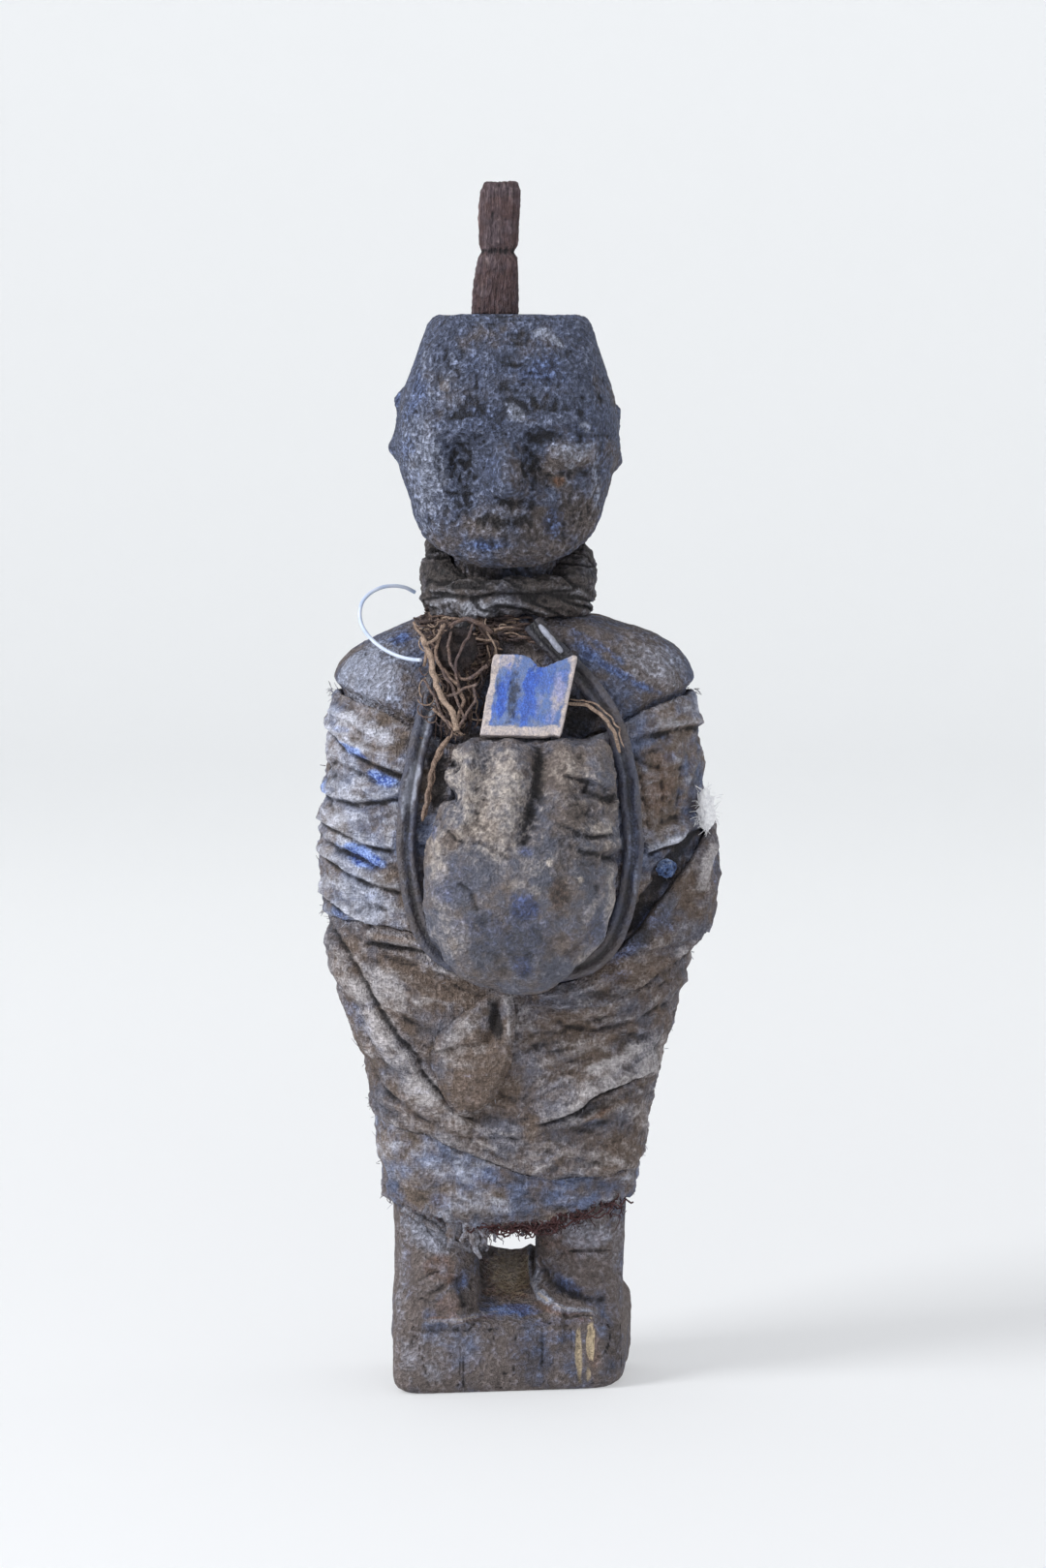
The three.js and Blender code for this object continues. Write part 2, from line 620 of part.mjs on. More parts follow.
const pieces = [
  ['figure', figureShape(), wood],
  ['head_peg', pegShape(), pegWood],
  ['neck_band', neckBandShape(), hide],
  ['chest_wrap', chestWrapShape(), cloth],
  ['hip_wrap', hipWrapShape(), darkCloth],
  ['skirt_wrap', skirtWrapShape(), cloth],
  ['elbow_sling', elbowSlingShape(), darkCloth],
  ['cloth_tail', clothTailShape(), cloth],
  ['medicine_pouch', pouchShape(), pouchHide],
  ['chest_strap', strapShape(), hide],
  ['blue_shard', shardShape(), glaze],
  ['fibre_knot', fibreKnotShape(), fibre],
  ['root_strand', tube(rootStrandRoute, strandDiameter, 6, 9), fibre],
  ['tendon', tube(tendonRoute, strandDiameter, 6, 9), fibre],
  ['twig', tube(twigRoute, twigDiameter, 6, 3), fibre],
  ['line_loop', lineShape(), nylon],
  ['blue_pebble', pebbleShape(pebbleSize, pebbleAt), paint],
  ['cotton_tuft', pebbleShape(tuftSize, tuftAt), cotton],
];

const part = new THREE.Group();
for (const [name, geometry, finish] of pieces) {
  const mesh = new THREE.Mesh(geometry, finish);
  mesh.name = name;
  part.add(mesh);
}

export default part;
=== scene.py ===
import math

import bpy
import numpy as np
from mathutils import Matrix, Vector
from mathutils.bvhtree import BVHTree


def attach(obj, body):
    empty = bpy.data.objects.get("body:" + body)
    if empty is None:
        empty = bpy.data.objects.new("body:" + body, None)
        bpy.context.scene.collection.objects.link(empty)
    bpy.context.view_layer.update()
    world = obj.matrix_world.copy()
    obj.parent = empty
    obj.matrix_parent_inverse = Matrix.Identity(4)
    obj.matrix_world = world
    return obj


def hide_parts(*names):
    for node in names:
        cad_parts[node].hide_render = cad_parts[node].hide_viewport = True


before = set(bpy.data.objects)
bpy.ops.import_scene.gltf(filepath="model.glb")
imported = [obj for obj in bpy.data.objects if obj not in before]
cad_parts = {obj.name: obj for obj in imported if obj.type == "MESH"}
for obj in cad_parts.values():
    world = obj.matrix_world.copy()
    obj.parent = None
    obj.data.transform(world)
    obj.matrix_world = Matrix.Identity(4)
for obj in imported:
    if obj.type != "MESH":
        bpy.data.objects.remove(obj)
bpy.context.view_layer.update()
mm = 0.001
deg = math.pi / 180
print("frame loaded")

# Everything below is worked out in millimetres and scaled when a mesh is made.


# Numbers over points

def smoothStep(low, high, value):
    t = np.clip((value - low) / (high - low), 0.0, 1.0)
    return t * t * (3 - 2 * t)


def hump(value, reach):
    return np.exp(-((value / reach) ** 2))


slopes = np.random.default_rng(5).normal(size=(256, 3))
slopes /= np.linalg.norm(slopes, axis=1)[:, None]


def slopeAt(x, y, z, seed):  # one of the random slopes for a corner of the grid
    h = x * np.uint32(73856093) ^ y * np.uint32(19349663) ^ z * np.uint32(83492791)
    h = h ^ np.uint32(seed * 9781 + 101)
    h = (h ^ (h >> np.uint32(15))) * np.uint32(2246822519)
    h = (h ^ (h >> np.uint32(13))) * np.uint32(3266489917)
    return slopes[(h >> np.uint32(12)) & np.uint32(255)]


def oneOctave(at, seed):
    cell = np.floor(at)
    f = at - cell
    fade = f * f * f * (f * (f * 6 - 15) + 10)
    c = cell.astype(np.int64).astype(np.uint32)
    total = np.zeros(len(at))
    for corner in range(8):
        step = np.array([corner & 1, corner >> 1 & 1, corner >> 2])
        weight = np.prod(np.where(step, fade, 1 - fade), axis=1)
        k = c + step.astype(np.uint32)
        total += weight * ((f - step) * slopeAt(k[:, 0], k[:, 1], k[:, 2], seed)).sum(1)
    return total * 1.6


spin = np.array([[0.36, 0.48, -0.8], [-0.8, 0.6, 0.0], [0.48, 0.64, 0.6]])


def cloud(points, size, octaves=3, seed=0, gain=0.5):  # size is one number or three, result about -1 to 1
    at = points / np.asarray(size, float)
    total, weight, norm = 0.0, 1.0, 0.0
    for k in range(octaves):
        at = at @ spin + 11.7
        total = total + weight * oneOctave(at, seed + k)
        norm += weight
        weight *= gain
        at = at * 2.03
    return total / norm * 1.5


def drift(points, size, octaves, seed):  # three clouds side by side, to move points by
    return np.stack([cloud(points, size, octaves, seed + k) for k in range(3)], 1)


def crests(points, size, seed, octaves=2):  # sharp crests with soft hollows between, about -1 to 1
    bent = points + 3.5 * drift(points, 17, 1, seed + 50)
    return 0.72 - 2.5 * np.abs(cloud(bent, size, octaves, seed))


def smoothLine(line, count=8):  # curve through the points of a line
    p = np.asarray(line, float)
    if len(p) < 3:
        return p
    q = np.vstack([2 * p[0] - p[1], p, 2 * p[-1] - p[-2]])
    t = np.linspace(0, 1, count, endpoint=False)[:, None]
    parts = []
    for a, b, c, d in zip(q, q[1:], q[2:], q[3:]):
        bend, twist = 2 * a - 5 * b + 4 * c - d, 3 * b - a - 3 * c + d
        parts.append(0.5 * (2 * b + (c - a) * t + bend * t ** 2 + twist * t ** 3))
    return np.vstack(parts + [p[-1:]])


def alongLine(x, z, line):  # distance, above or left of the line positive, and place along
    p = np.asarray(line, float)
    spans = np.hypot(*(p[1:] - p[:-1]).T)
    starts = np.concatenate([[0], np.cumsum(spans)])
    best = np.full(len(x), 1e9)
    side = np.ones(len(x))
    along = np.zeros(len(x))
    for k in range(len(p) - 1):
        d = p[k + 1] - p[k]
        t = np.clip(((x - p[k, 0]) * d[0] + (z - p[k, 1]) * d[1]) / (d @ d), 0, 1)
        dx, dz = x - p[k, 0] - t * d[0], z - p[k, 1] - t * d[1]
        dist = np.hypot(dx, dz)
        near = dist < best
        best = np.where(near, dist, best)
        side = np.where(near, np.where(d[0] * dz - d[1] * dx >= 0, 1.0, -1.0), side)
        along = np.where(near, (starts[k] + t * spans[k]) / starts[-1], along)
    return best * side, along


def foldHeight(x, z, fold):
    kind, height, width, run, line = fold
    side, along = alongLine(x, z, smoothLine(line, 5))
    ends = smoothStep(0, 0.1, along) * (1 - smoothStep(0.9, 1, along))
    if kind == "groove":
        shape = -hump(side, width)
    elif kind == "ridge":
        shape = hump(side, width)
    else:  # lap: raised above its line, drop: raised below it
        s = side if kind == "lap" else -side
        shape = smoothStep(-width / 2, width / 2, s) * (1 - smoothStep(0.2 * run, run, s))
        shape = shape - 0.4 * hump(s + 1.2 * width, width)
    return height * shape * ends


def foldsAt(x, z, folds):
    return sum(foldHeight(x, z, fold) for fold in folds)


def spots(x, z, rough, rows):  # rows: x, z, half width, half height, tilt, strength
    total = np.zeros(len(x))
    for cx, cz, wide, high, tilt, strength in rows:
        c, s = math.cos(tilt * deg), math.sin(tilt * deg)
        u = ((x - cx) * c + (z - cz) * s) / wide
        v = ((z - cz) * c - (x - cx) * s) / high
        total = np.maximum(total, strength * (1 - smoothStep(0.35, 1.25, np.hypot(u, v) + rough)))
    return total


# Meshes

def newMesh(name, points, faceSets):
    mesh = bpy.data.meshes.new(name)
    sizes = np.concatenate([np.full(len(f), f.shape[1]) for f in faceSets])
    corners = np.concatenate([f.ravel() for f in faceSets]).astype(np.int32)
    mesh.vertices.add(len(points))
    mesh.vertices.foreach_set("co", (points * mm).astype(np.float32).ravel())
    mesh.loops.add(len(corners))
    mesh.loops.foreach_set("vertex_index", corners)
    mesh.polygons.add(len(sizes))
    mesh.polygons.foreach_set("loop_start", (np.cumsum(sizes) - sizes).astype(np.int32))
    mesh.update(calc_edges=True)
    return mesh


def pointsOf(mesh):
    co = np.empty(len(mesh.vertices) * 3, np.float32)
    mesh.vertices.foreach_get("co", co)
    return co.reshape(-1, 3).astype(float) / mm


def normalsOf(mesh):
    n = np.empty(len(mesh.vertices) * 3, np.float32)
    mesh.vertex_normals.foreach_get("vector", n)
    return n.reshape(-1, 3).astype(float)


def setPoints(mesh, points):
    mesh.vertices.foreach_set("co", (points * mm).astype(np.float32).ravel())
    mesh.update()


def gridFaces(rows, columns, wrapRows=False, wrapColumns=False):
    r = np.arange(rows if wrapRows else rows - 1)[:, None]
    c = np.arange(columns if wrapColumns else columns - 1)[None, :]
    up, right = (r + 1) % rows, (c + 1) % columns
    corners = (r * columns + c, r * columns + right, up * columns + right, up * columns + c)
    return np.stack(np.broadcast_arrays(*corners), -1).reshape(-1, 4)


def layerFaces(rows, columns):  # front and back of a cloth layer, closed at both sides
    loops = 2 * rows
    r = np.arange(rows - 1)
    left = np.stack([r + 1, r, loops - 1 - r, loops - 2 - r], 1) * columns
    return [gridFaces(loops, columns, wrapRows=True), left, left[:, [1, 0, 3, 2]] + columns - 1]


def endFans(first, last, sides, middle):  # triangles that close both ends of a tube
    around = np.arange(sides)
    nextOne = (around + 1) % sides
    return np.vstack([np.stack([first + nextOne, first + around, np.full(sides, middle)], 1),
                      np.stack([last + around, last + nextOne, np.full(sides, middle + 1)], 1)])


markNames = ("blue", "pale", "dark", "warm", "hollow")


def lined(marks, count):  # adds the marks of the hidden side of a cloth layer, painted dark as shade
    return {mark: np.concatenate([values, np.full(count, 0.6 if mark == "dark" else 0.0)])
            for mark, values in marks.items()}


def linked(name, data):
    thing = bpy.data.objects.new(name, data)
    bpy.context.scene.collection.objects.link(thing)
    return thing


def hollowness(mesh, rounds):  # mm that a point lies in a hollow, below 0 on a crest
    count = len(mesh.vertices)
    ends = np.empty(len(mesh.edges) * 2, np.int32)
    mesh.edges.foreach_get("vertices", ends)
    a, b = ends[::2], ends[1::2]
    near = np.bincount(ends, minlength=count)[:, None]
    start = pointsOf(mesh)
    p = start
    for _ in range(rounds):
        sums = [np.bincount(a, p[b, k], count) + np.bincount(b, p[a, k], count) for k in range(3)]
        p = np.stack(sums, 1) / near
    deep = ((p - start) * normalsOf(mesh)).sum(1)
    return deep - np.median(deep)


def place(name, mesh, finish, nodes=(), marks=None, wear=None, plain=0.0):
    marks = {mark: np.zeros(len(mesh.vertices)) for mark in markNames} | (marks or {})
    if wear:  # rounds, mm for the full painted shade in hollows, share of pale dusting on the crests
        deep = (hollowness(mesh, wear[0]) - plain) / wear[1]
        # Painted shade: the hollows of the relief get the hollow mark, which darkens them
        marks["hollow"] = marks["hollow"] + np.clip(deep, 0, 1.3)
        marks["pale"] = marks["pale"] + wear[2] * np.clip(-deep, -0.3, 1.2)
    for mark, values in marks.items():
        layer = mesh.attributes.new(mark, "FLOAT", "POINT")
        layer.data.foreach_set("value", values.astype(np.float32))
    mesh.shade_smooth()
    mesh.materials.clear()
    mesh.materials.append(finish)
    piece = linked(name, mesh)
    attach(piece, "root")
    if nodes:
        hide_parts(*nodes)
    print(name, len(mesh.vertices), "points")
    return piece


def modified(mesh, kind, group=None, **settings):  # a copy of the mesh after one modifier
    draft = linked("draft", mesh)
    change = draft.modifiers.new("change", kind)
    if group is not None:
        draft.vertex_groups.new(name="chosen").add(np.where(group)[0].tolist(), 1.0, "REPLACE")
        change.vertex_group = "chosen"
    for key, value in settings.items():
        setattr(change, key, value)
    result = bpy.data.meshes.new_from_object(draft.evaluated_get(bpy.context.evaluated_depsgraph_get()))
    bpy.data.objects.remove(draft)
    return result


def remeshed(node, voxel, rounds=4):  # even, closed skin over a CAD node
    mesh = modified(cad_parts[node].data.copy(), "REMESH", mode="VOXEL", voxel_size=voxel * mm)
    return modified(mesh, "SMOOTH", factor=0.5, iterations=rounds)


def tubes(paths, sides=6):  # each path: points, half width, half thickness, tone
    points, quads, caps, tones = [], [], [], []
    first = 0
    ring = np.arange(sides) / sides * 2 * math.pi
    for path, wide, thick, tone in paths:
        p = np.asarray(path, float)
        count = len(p)
        tangent = np.gradient(p, axis=0)
        tangent /= np.linalg.norm(tangent, axis=1)[:, None] + 1e-9
        across = np.cross(tangent[0], [0.0, -1.0, 0.15])
        if np.linalg.norm(across) < 0.1:
            across = np.cross(tangent[0], [1.0, 0.0, 0.0])
        rows = []
        for k in range(count):
            across = across - tangent[k] * (across @ tangent[k])
            across = across / np.linalg.norm(across)
            out = np.cross(across, tangent[k])
            w = wide[k] if np.ndim(wide) else wide
            h = thick[k] if np.ndim(thick) else thick
            rows.append(p[k] + np.cos(ring)[:, None] * across * w + np.sin(ring)[:, None] * out * h)
        points.append(np.vstack(rows + [p[:1], p[-1:]]))
        quads.append(gridFaces(count, sides, wrapColumns=True) + first)
        middle = first + count * sides
        caps.append(endFans(first, middle - sides, sides, middle))
        tones.append(np.full(count * sides + 2, tone))
        first += count * sides + 2
    return np.vstack(points), [np.vstack(quads), np.vstack(caps)], np.concatenate(tones)


def skinOf(*nodes):  # for rays cast onto CAD nodes
    points, faces = [], []
    for node in nodes:
        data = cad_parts[node].data
        first = len(points)
        points += [v.co.copy() for v in data.vertices]
        faces += [[first + i for i in face.vertices] for face in data.polygons]
    return BVHTree.FromPolygons(points, faces)


# Finishes

def tone(red, green, blue):  # a colour as seen on a screen, 0 to 255
    parts = [c / 255 for c in (red, green, blue)]
    return tuple(c / 12.92 if c < 0.039 else ((c + 0.055) / 1.055) ** 2.4 for c in parts) + (1.0,)


class Wire:  # a socket that can be added, multiplied and so on
    def __init__(self, shade, socket):
        self.shade, self.socket = shade, socket

    def calc(self, operation, other, swapped=False):
        pair = (other, self) if swapped else (self, other)
        return self.shade.add("ShaderNodeMath", {"operation": operation}, {0: pair[0], 1: pair[1]})

    def __add__(self, other):
        return self.calc("ADD", other)

    def __radd__(self, other):
        return self.calc("ADD", other, True)

    def __sub__(self, other):
        return self.calc("SUBTRACT", other)

    def __rsub__(self, other):
        return self.calc("SUBTRACT", other, True)

    def __mul__(self, other):
        return self.calc("MULTIPLY", other)

    def __rmul__(self, other):
        return self.calc("MULTIPLY", other, True)


class Shade:
    def __init__(self, name):
        self.finish = bpy.data.materials.new(name)
        self.finish.use_nodes = True
        self.tree = self.finish.node_tree
        self.tree.nodes.clear()
        self.place = self.add("ShaderNodeTexCoord", {}, {}, "Object")

    def add(self, kind, settings, sockets, out=0):
        node = self.tree.nodes.new(kind)
        for key, value in settings.items():
            setattr(node, key, value)
        for key, value in sockets.items():
            if isinstance(value, Wire):
                self.tree.links.new(value.socket, node.inputs[key])
            else:
                node.inputs[key].default_value = value
        return Wire(self, node.outputs[out]) if len(node.outputs) else None

    def mark(self, name):
        return self.add("ShaderNodeAttribute", {"attribute_name": name}, {}, "Fac")

    def stretched(self, factors):
        return self.add("ShaderNodeVectorMath", {"operation": "MULTIPLY"}, {0: self.place, 1: factors})

    def noise(self, size, detail=3.0, rough=0.55, at=None):
        sockets = {"Vector": at or self.place, "Scale": 1 / (size * mm), "Detail": detail,
                   "Roughness": rough}
        return self.add("ShaderNodeTexNoise", {}, sockets)

    def step(self, value, low, high, top=1.0):
        sockets = {"Value": value, "From Min": low, "From Max": high, "To Max": top}
        return self.add("ShaderNodeMapRange", {"interpolation_type": "SMOOTHSTEP"}, sockets)

    def mix(self, factor, a, b):
        return self.add("ShaderNodeMix", {"data_type": "RGBA"}, {0: factor, 6: a, 7: b}, 2)

    def scaled(self, colour, factor):
        return self.add("ShaderNodeVectorMath", {"operation": "SCALE"}, {0: colour, "Scale": factor})

    def close(self, colour, roughness, height=None, **fixed):
        sockets = {"Base Color": colour, "Roughness": roughness}
        if height is not None:
            bump = {"Height": height, "Distance": mm, "Strength": 1.0}
            sockets["Normal"] = self.add("ShaderNodeBump", {}, bump)
        sockets.update({key.replace("_", " "): value for key, value in fixed.items()})
        surface = self.add("ShaderNodeBsdfPrincipled", {}, sockets)
        self.add("ShaderNodeOutputMaterial", {}, {"Surface": surface})
        return self.finish


def agedFinish(name, look):  # crusted, dusty stuff: wood, cloth and hide
    s = Shade(name)
    blotch = s.noise(look["blotch"], 3.0, 0.6)
    fine = s.step(s.noise(look["fine"], 4.0, 0.62), 0.25, 0.75)
    streaks = s.stretched(look.get("streak", (1.0, 1.0, 1.0)))
    grain = s.step(s.noise(look["grain"], 2.0, 0.6, streaks), 0.28, 0.72)
    pale, blue, dark, warm, hollow = (s.mark(m) for m in ("pale", "blue", "dark", "warm", "hollow"))
    if "crusty" in look:  # grains only where the piece is crusted
        grain = (grain - 0.5) * s.mark("crust") + 0.5
    height = fine * look["lumps"] + grain * look["grit"]
    speckle = ((fine - 0.5) * 0.5 + (grain - 0.5) * 0.4) * look["speckle"]
    light = fine * look["cloudy"] + (1 - look["cloudy"] / 2)
    light = light * (grain * look["grainy"] + (1 - look["grainy"] / 2))
    if "thread" in look:  # coarse weave: short threads across and up
        long, thin = 1 / look["thread"][0], 1 / look["thread"][1]
        across = s.noise(1.0, 1.0, 0.5, s.stretched((long, long, thin)))
        upright = s.noise(1.0, 1.0, 0.5, s.stretched((thin, thin, long)))
        weave = s.step(across, 0.3, 0.7) * 0.5 + s.step(upright, 0.3, 0.7) * 0.5
        height = height + weave * look["weave"]
        light = light * (weave * 0.4 + 0.8)
    hue = s.step(blotch + (fine - 0.5) * 0.15 + blue * 0.2 - warm * 0.3 + look.get("lean", 0.0), 0.32, 0.68)
    colour = s.mix(hue, look["brown"], look["cool"])
    colour = s.mix(s.step(warm + speckle * 0.6, 0.6, 1.4), colour, look["rust"])
    # The pale mark paints the pale colour: real dusting, and painted highlights where the spot tables put
    # them on lit faces
    colour = s.mix(s.step(pale + speckle, 0.05, 1.3, look["dusty"]), colour, look["dustAndHighlight"])
    paint = s.mix(s.step(grain * 0.6 + fine * 0.4 + pale * 0.3, 0.25, 0.95), look["blue"], look["paleBlue"])
    colour = s.mix(s.step(blue + speckle * look["spotty"], 0.15, 1.15, look["painted"]), colour, paint)
    # Painted shade: the dark mark, mostly painted shade, and the hollow mark, painted shade in creases,
    # darken the colour towards black
    gloom = s.step(dark + hollow * 0.85 - speckle * 0.3, 0.08, 1.3, look["gloom"])
    colour = s.scaled(colour, light * look.get("bright", 1.0))
    if "bare" in look:
        colour = s.mix(s.step(s.mark("bare") + speckle * 0.5, 0.3, 0.8), colour, look["bare"])
    colour = s.mix(gloom, colour, look["black"])
    rough = fine * (look["roughest"] - look["smoothest"]) + look["smoothest"]
    return s.close(colour, rough, height)


baseLook = {"blotch": 14.0, "fine": 3.0, "grain": 0.9, "brown": tone(106, 96, 93),
    "cool": tone(92, 98, 120), "dustAndHighlight": tone(188, 191, 206), "dusty": 0.85, "rust": tone(118, 86, 66),
    "black": tone(18, 16, 20), "blue": tone(48, 68, 142), "paleBlue": tone(128, 152, 214),
    "painted": 0.85, "gloom": 0.9, "lumps": 0.6, "grit": 0.6, "speckle": 0.6, "spotty": 0.8,
    "cloudy": 0.45, "grainy": 0.45, "smoothest": 0.8, "roughest": 1.0}
woodFinish = agedFinish("crustedWood", {**baseLook, "grit": 1.5, "lumps": 0.8,
        "cool": tone(90, 98, 124), "grain": 1.2, "brown": tone(116, 105, 102), "crusty": True,
        "spotty": 0.5, "cloudy": 0.5, "speckle": 0.5, "bare": tone(208, 188, 158), "grainy": 0.78,
        "dusty": 0.66, "blue": tone(50, 68, 124), "paleBlue": tone(100, 124, 180), "fine": 2.4,
        "dustAndHighlight": tone(184, 190, 211)})
pegFinish = agedFinish("fibrousWood", {**baseLook, "brown": tone(88, 67, 67), "cool": tone(84, 71, 76),
        "blotch": 6.0, "dustAndHighlight": tone(156, 138, 136), "streak": (1.0, 1.0, 0.16), "grain": 0.6,
        "grit": 0.5, "grainy": 0.7})
clothFinish = agedFinish("stiffCloth", {**baseLook, "brown": tone(119, 104, 94),
        "cool": tone(98, 107, 134), "dustAndHighlight": tone(208, 210, 224), "thread": (2.8, 0.5), "weave": 0.5,
        "painted": 1.0, "speckle": 0.4, "fine": 4.0, "cloudy": 0.6, "grainy": 0.4, "spotty": 0.6,
        "blue": tone(56, 86, 176), "paleBlue": tone(146, 170, 226)})
darkClothFinish = agedFinish("brownCloth", {**baseLook, "brown": tone(110, 94, 84),
        "cool": tone(102, 102, 114), "dustAndHighlight": tone(196, 190, 192), "thread": (3.0, 0.55), "weave": 0.6})
pouchFinish = agedFinish("crustedHide", {**baseLook, "brown": tone(114, 102, 97),
        "cool": tone(94, 96, 110), "blotch": 11.0, "dustAndHighlight": tone(210, 198, 188), "fine": 2.2,
        "cloudy": 0.35, "grainy": 0.45, "speckle": 0.5, "blue": tone(50, 64, 114),
        "paleBlue": tone(84, 102, 160), "painted": 0.75, "lean": 0.05, "smoothest": 0.36,
        "roughest": 0.8})
collarFinish = agedFinish("crustedCollar", {**baseLook, "brown": tone(88, 79, 76),
        "cool": tone(76, 76, 88), "dustAndHighlight": tone(176, 178, 190), "fine": 2.6, "grainy": 0.7,
        "smoothest": 0.6, "roughest": 0.95})
hideFinish = agedFinish("oiledHide", {**baseLook, "brown": tone(84, 77, 78), "cool": tone(72, 75, 92),
        "dustAndHighlight": tone(166, 170, 186), "smoothest": 0.3, "roughest": 0.62, "lumps": 0.4, "grit": 0.2,
        "cloudy": 0.3, "grainy": 0.3, "speckle": 0.5})
fibreFinish = agedFinish("dryFibre", {**baseLook, "brown": tone(104, 82, 72), "cool": tone(84, 72, 76),
        "blotch": 4.0, "fine": 1.4, "dustAndHighlight": tone(190, 166, 148), "rust": tone(128, 94, 72),
        "grain": 0.5, "lumps": 0.3, "grit": 0.3})
threadFinish = agedFinish("looseThread", {**baseLook, "brown": tone(104, 90, 84),
        "cool": tone(112, 110, 120), "blotch": 4.0, "rust": tone(74, 36, 36), "fine": 1.4,
        "grain": 0.5, "lumps": 0.3, "grit": 0.3})
glazeFinish = agedFinish("chippedGlaze", {**baseLook, "brown": tone(112, 124, 156),
        "cool": tone(92, 118, 174), "blotch": 2.4, "dustAndHighlight": tone(206, 190, 180), "dusty": 0.9,
        "blue": tone(44, 78, 172), "rust": tone(170, 136, 112), "paleBlue": tone(66, 110, 206),
        "spotty": 0.4, "cloudy": 0.3, "smoothest": 0.35, "roughest": 0.6, "grit": 0.15, "lumps": 0.2,
        "fine": 1.8, "grain": 0.5, "painted": 0.9, "grainy": 0.3})
paintFinish = agedFinish("bluePaint", {**baseLook, "brown": tone(92, 116, 168),
        "cool": tone(102, 132, 194), "blotch": 2.0, "fine": 1.2, "grain": 0.4,
        "dustAndHighlight": tone(190, 204, 230)})


def plainFinish(name, colourA, colourB, size, roughness, **fixed):
    s = Shade(name)
    blend = s.noise(size, 3.0)
    return s.close(s.mix(s.step(blend, 0.35, 0.65), colourA, colourB), roughness, blend * 0.15, **fixed)


nylonFinish = plainFinish("paleNylon", tone(176, 192, 222), tone(206, 214, 232), 6.0, 0.3)
cottonFinish = plainFinish("whiteCotton", tone(226, 226, 230), tone(246, 246, 248), 1.2, 0.95)
print("finishes made")


# Camera, light and the pale surround

shot = {"height": 0.330, "distance": 1.5, "pitch": 5.3182, "lens": 4928.86 / 1619 * 36}
camera = bpy.data.cameras.new("camera")
camera.sensor_width = 36
camera.lens = shot["lens"]
eye = linked("camera", camera)
eye.location = (0, -shot["distance"], shot["height"])
eye.rotation_euler = ((90 - shot["pitch"]) * deg, 0, 0)
bpy.context.scene.camera = eye
bpy.context.scene.view_settings.view_transform = "Standard"

lamps = {
    "window": {"at": (-1.6, -0.95, 1.45), "aim": (0, 0, 0.17), "size": 0.8, "power": 38,
        "colour": (0.98, 0.99, 1.0)},
    "front": {"at": (0.2, -2.1, 1.0), "aim": (0, 0, 0.17), "size": 1.0, "power": 2,
        "colour": (1.0, 0.99, 0.97)},
    "right": {"at": (1.6, 0.4, 0.9), "aim": (0, 0, 0.17), "size": 1.0, "power": 2,
        "colour": (1.0, 0.95, 0.9)},
    "above": {"at": (0.0, 0.3, 2.3), "aim": (0, 0, 0), "size": 2.0, "power": 4,
        "colour": (1.0, 1.0, 1.0)},
}
for lampName, setting in lamps.items():
    light = bpy.data.lights.new(lampName, "AREA")
    light.size, light.energy, light.color = setting["size"], setting["power"], setting["colour"]
    lamp = linked(lampName, light)
    lamp.location = setting["at"]
    lamp.rotation_euler = (Vector(setting["aim"]) - lamp.location).to_track_quat("-Z", "Y").to_euler()

surround = {"sky": (0.96, 0.98, 1.0, 1.0), "skyStrength": 0.4, "nearPaper": tone(186, 187, 189),
    "paper": tone(232, 233, 234), "nearGlow": tone(246, 247, 249), "farGlow": tone(176, 177, 178),
    "glow": 0.38, "flat": 2300, "bend": 700, "top": 3300, "sides": 96}
world = bpy.data.worlds.new("surround")
world.use_nodes = True
world.node_tree.nodes["Background"].inputs["Color"].default_value = surround["sky"]
world.node_tree.nodes["Background"].inputs["Strength"].default_value = surround["skyStrength"]
bpy.context.scene.world = world

# Paper floor that turns up into a round wall, well behind every camera
profile = [(300.0, 0.0), (900.0, 0.0), (surround["flat"], 0.0)]
profile += [(surround["flat"] + surround["bend"] * math.sin(a), surround["bend"] * (1 - math.cos(a)))
            for a in np.linspace(0.1, math.pi / 2, 12)]
profile.append((surround["flat"] + surround["bend"], surround["top"]))
sides = surround["sides"]
paperTurn = np.linspace(0, 2 * math.pi, sides, endpoint=False)
paperPoints = [(0.0, 0.0, 0.0)]
paperPoints += [(r * math.cos(a), r * math.sin(a), z) for r, z in profile for a in paperTurn]
paperRim = np.arange(sides)
paperCap = np.stack([np.zeros(sides, int), paperRim + 1, (paperRim + 1) % sides + 1], 1)
paperRings = gridFaces(len(profile), sides, wrapColumns=True)[:, ::-1] + 1
paperMesh = newMesh("paperSweep", np.array(paperPoints), [paperCap, paperRings])
paperMesh.shade_smooth()
paperShade = Shade("palePaper")
# The paper is painted darker near the figure and glows there more than far off: a painted fill light that
# softens the cast shadow on the floor
fromFoot = paperShade.add("ShaderNodeVectorMath", {"operation": "LENGTH"}, {0: paperShade.place}, 1)
farther = paperShade.step(fromFoot, 0.2, 1.5)
paperTone = paperShade.mix(farther, surround["nearPaper"], surround["paper"])
paperGlow = paperShade.mix(farther, surround["nearGlow"], surround["farGlow"])
paperFinish = paperShade.close(paperTone, 0.9, None, Emission_Color=paperGlow,
                               Emission_Strength=surround["glow"])
paperMesh.materials.append(paperFinish)
paper = linked("paper_sweep", paperMesh)
print("camera and light set")


# Nylon line: the one free cord

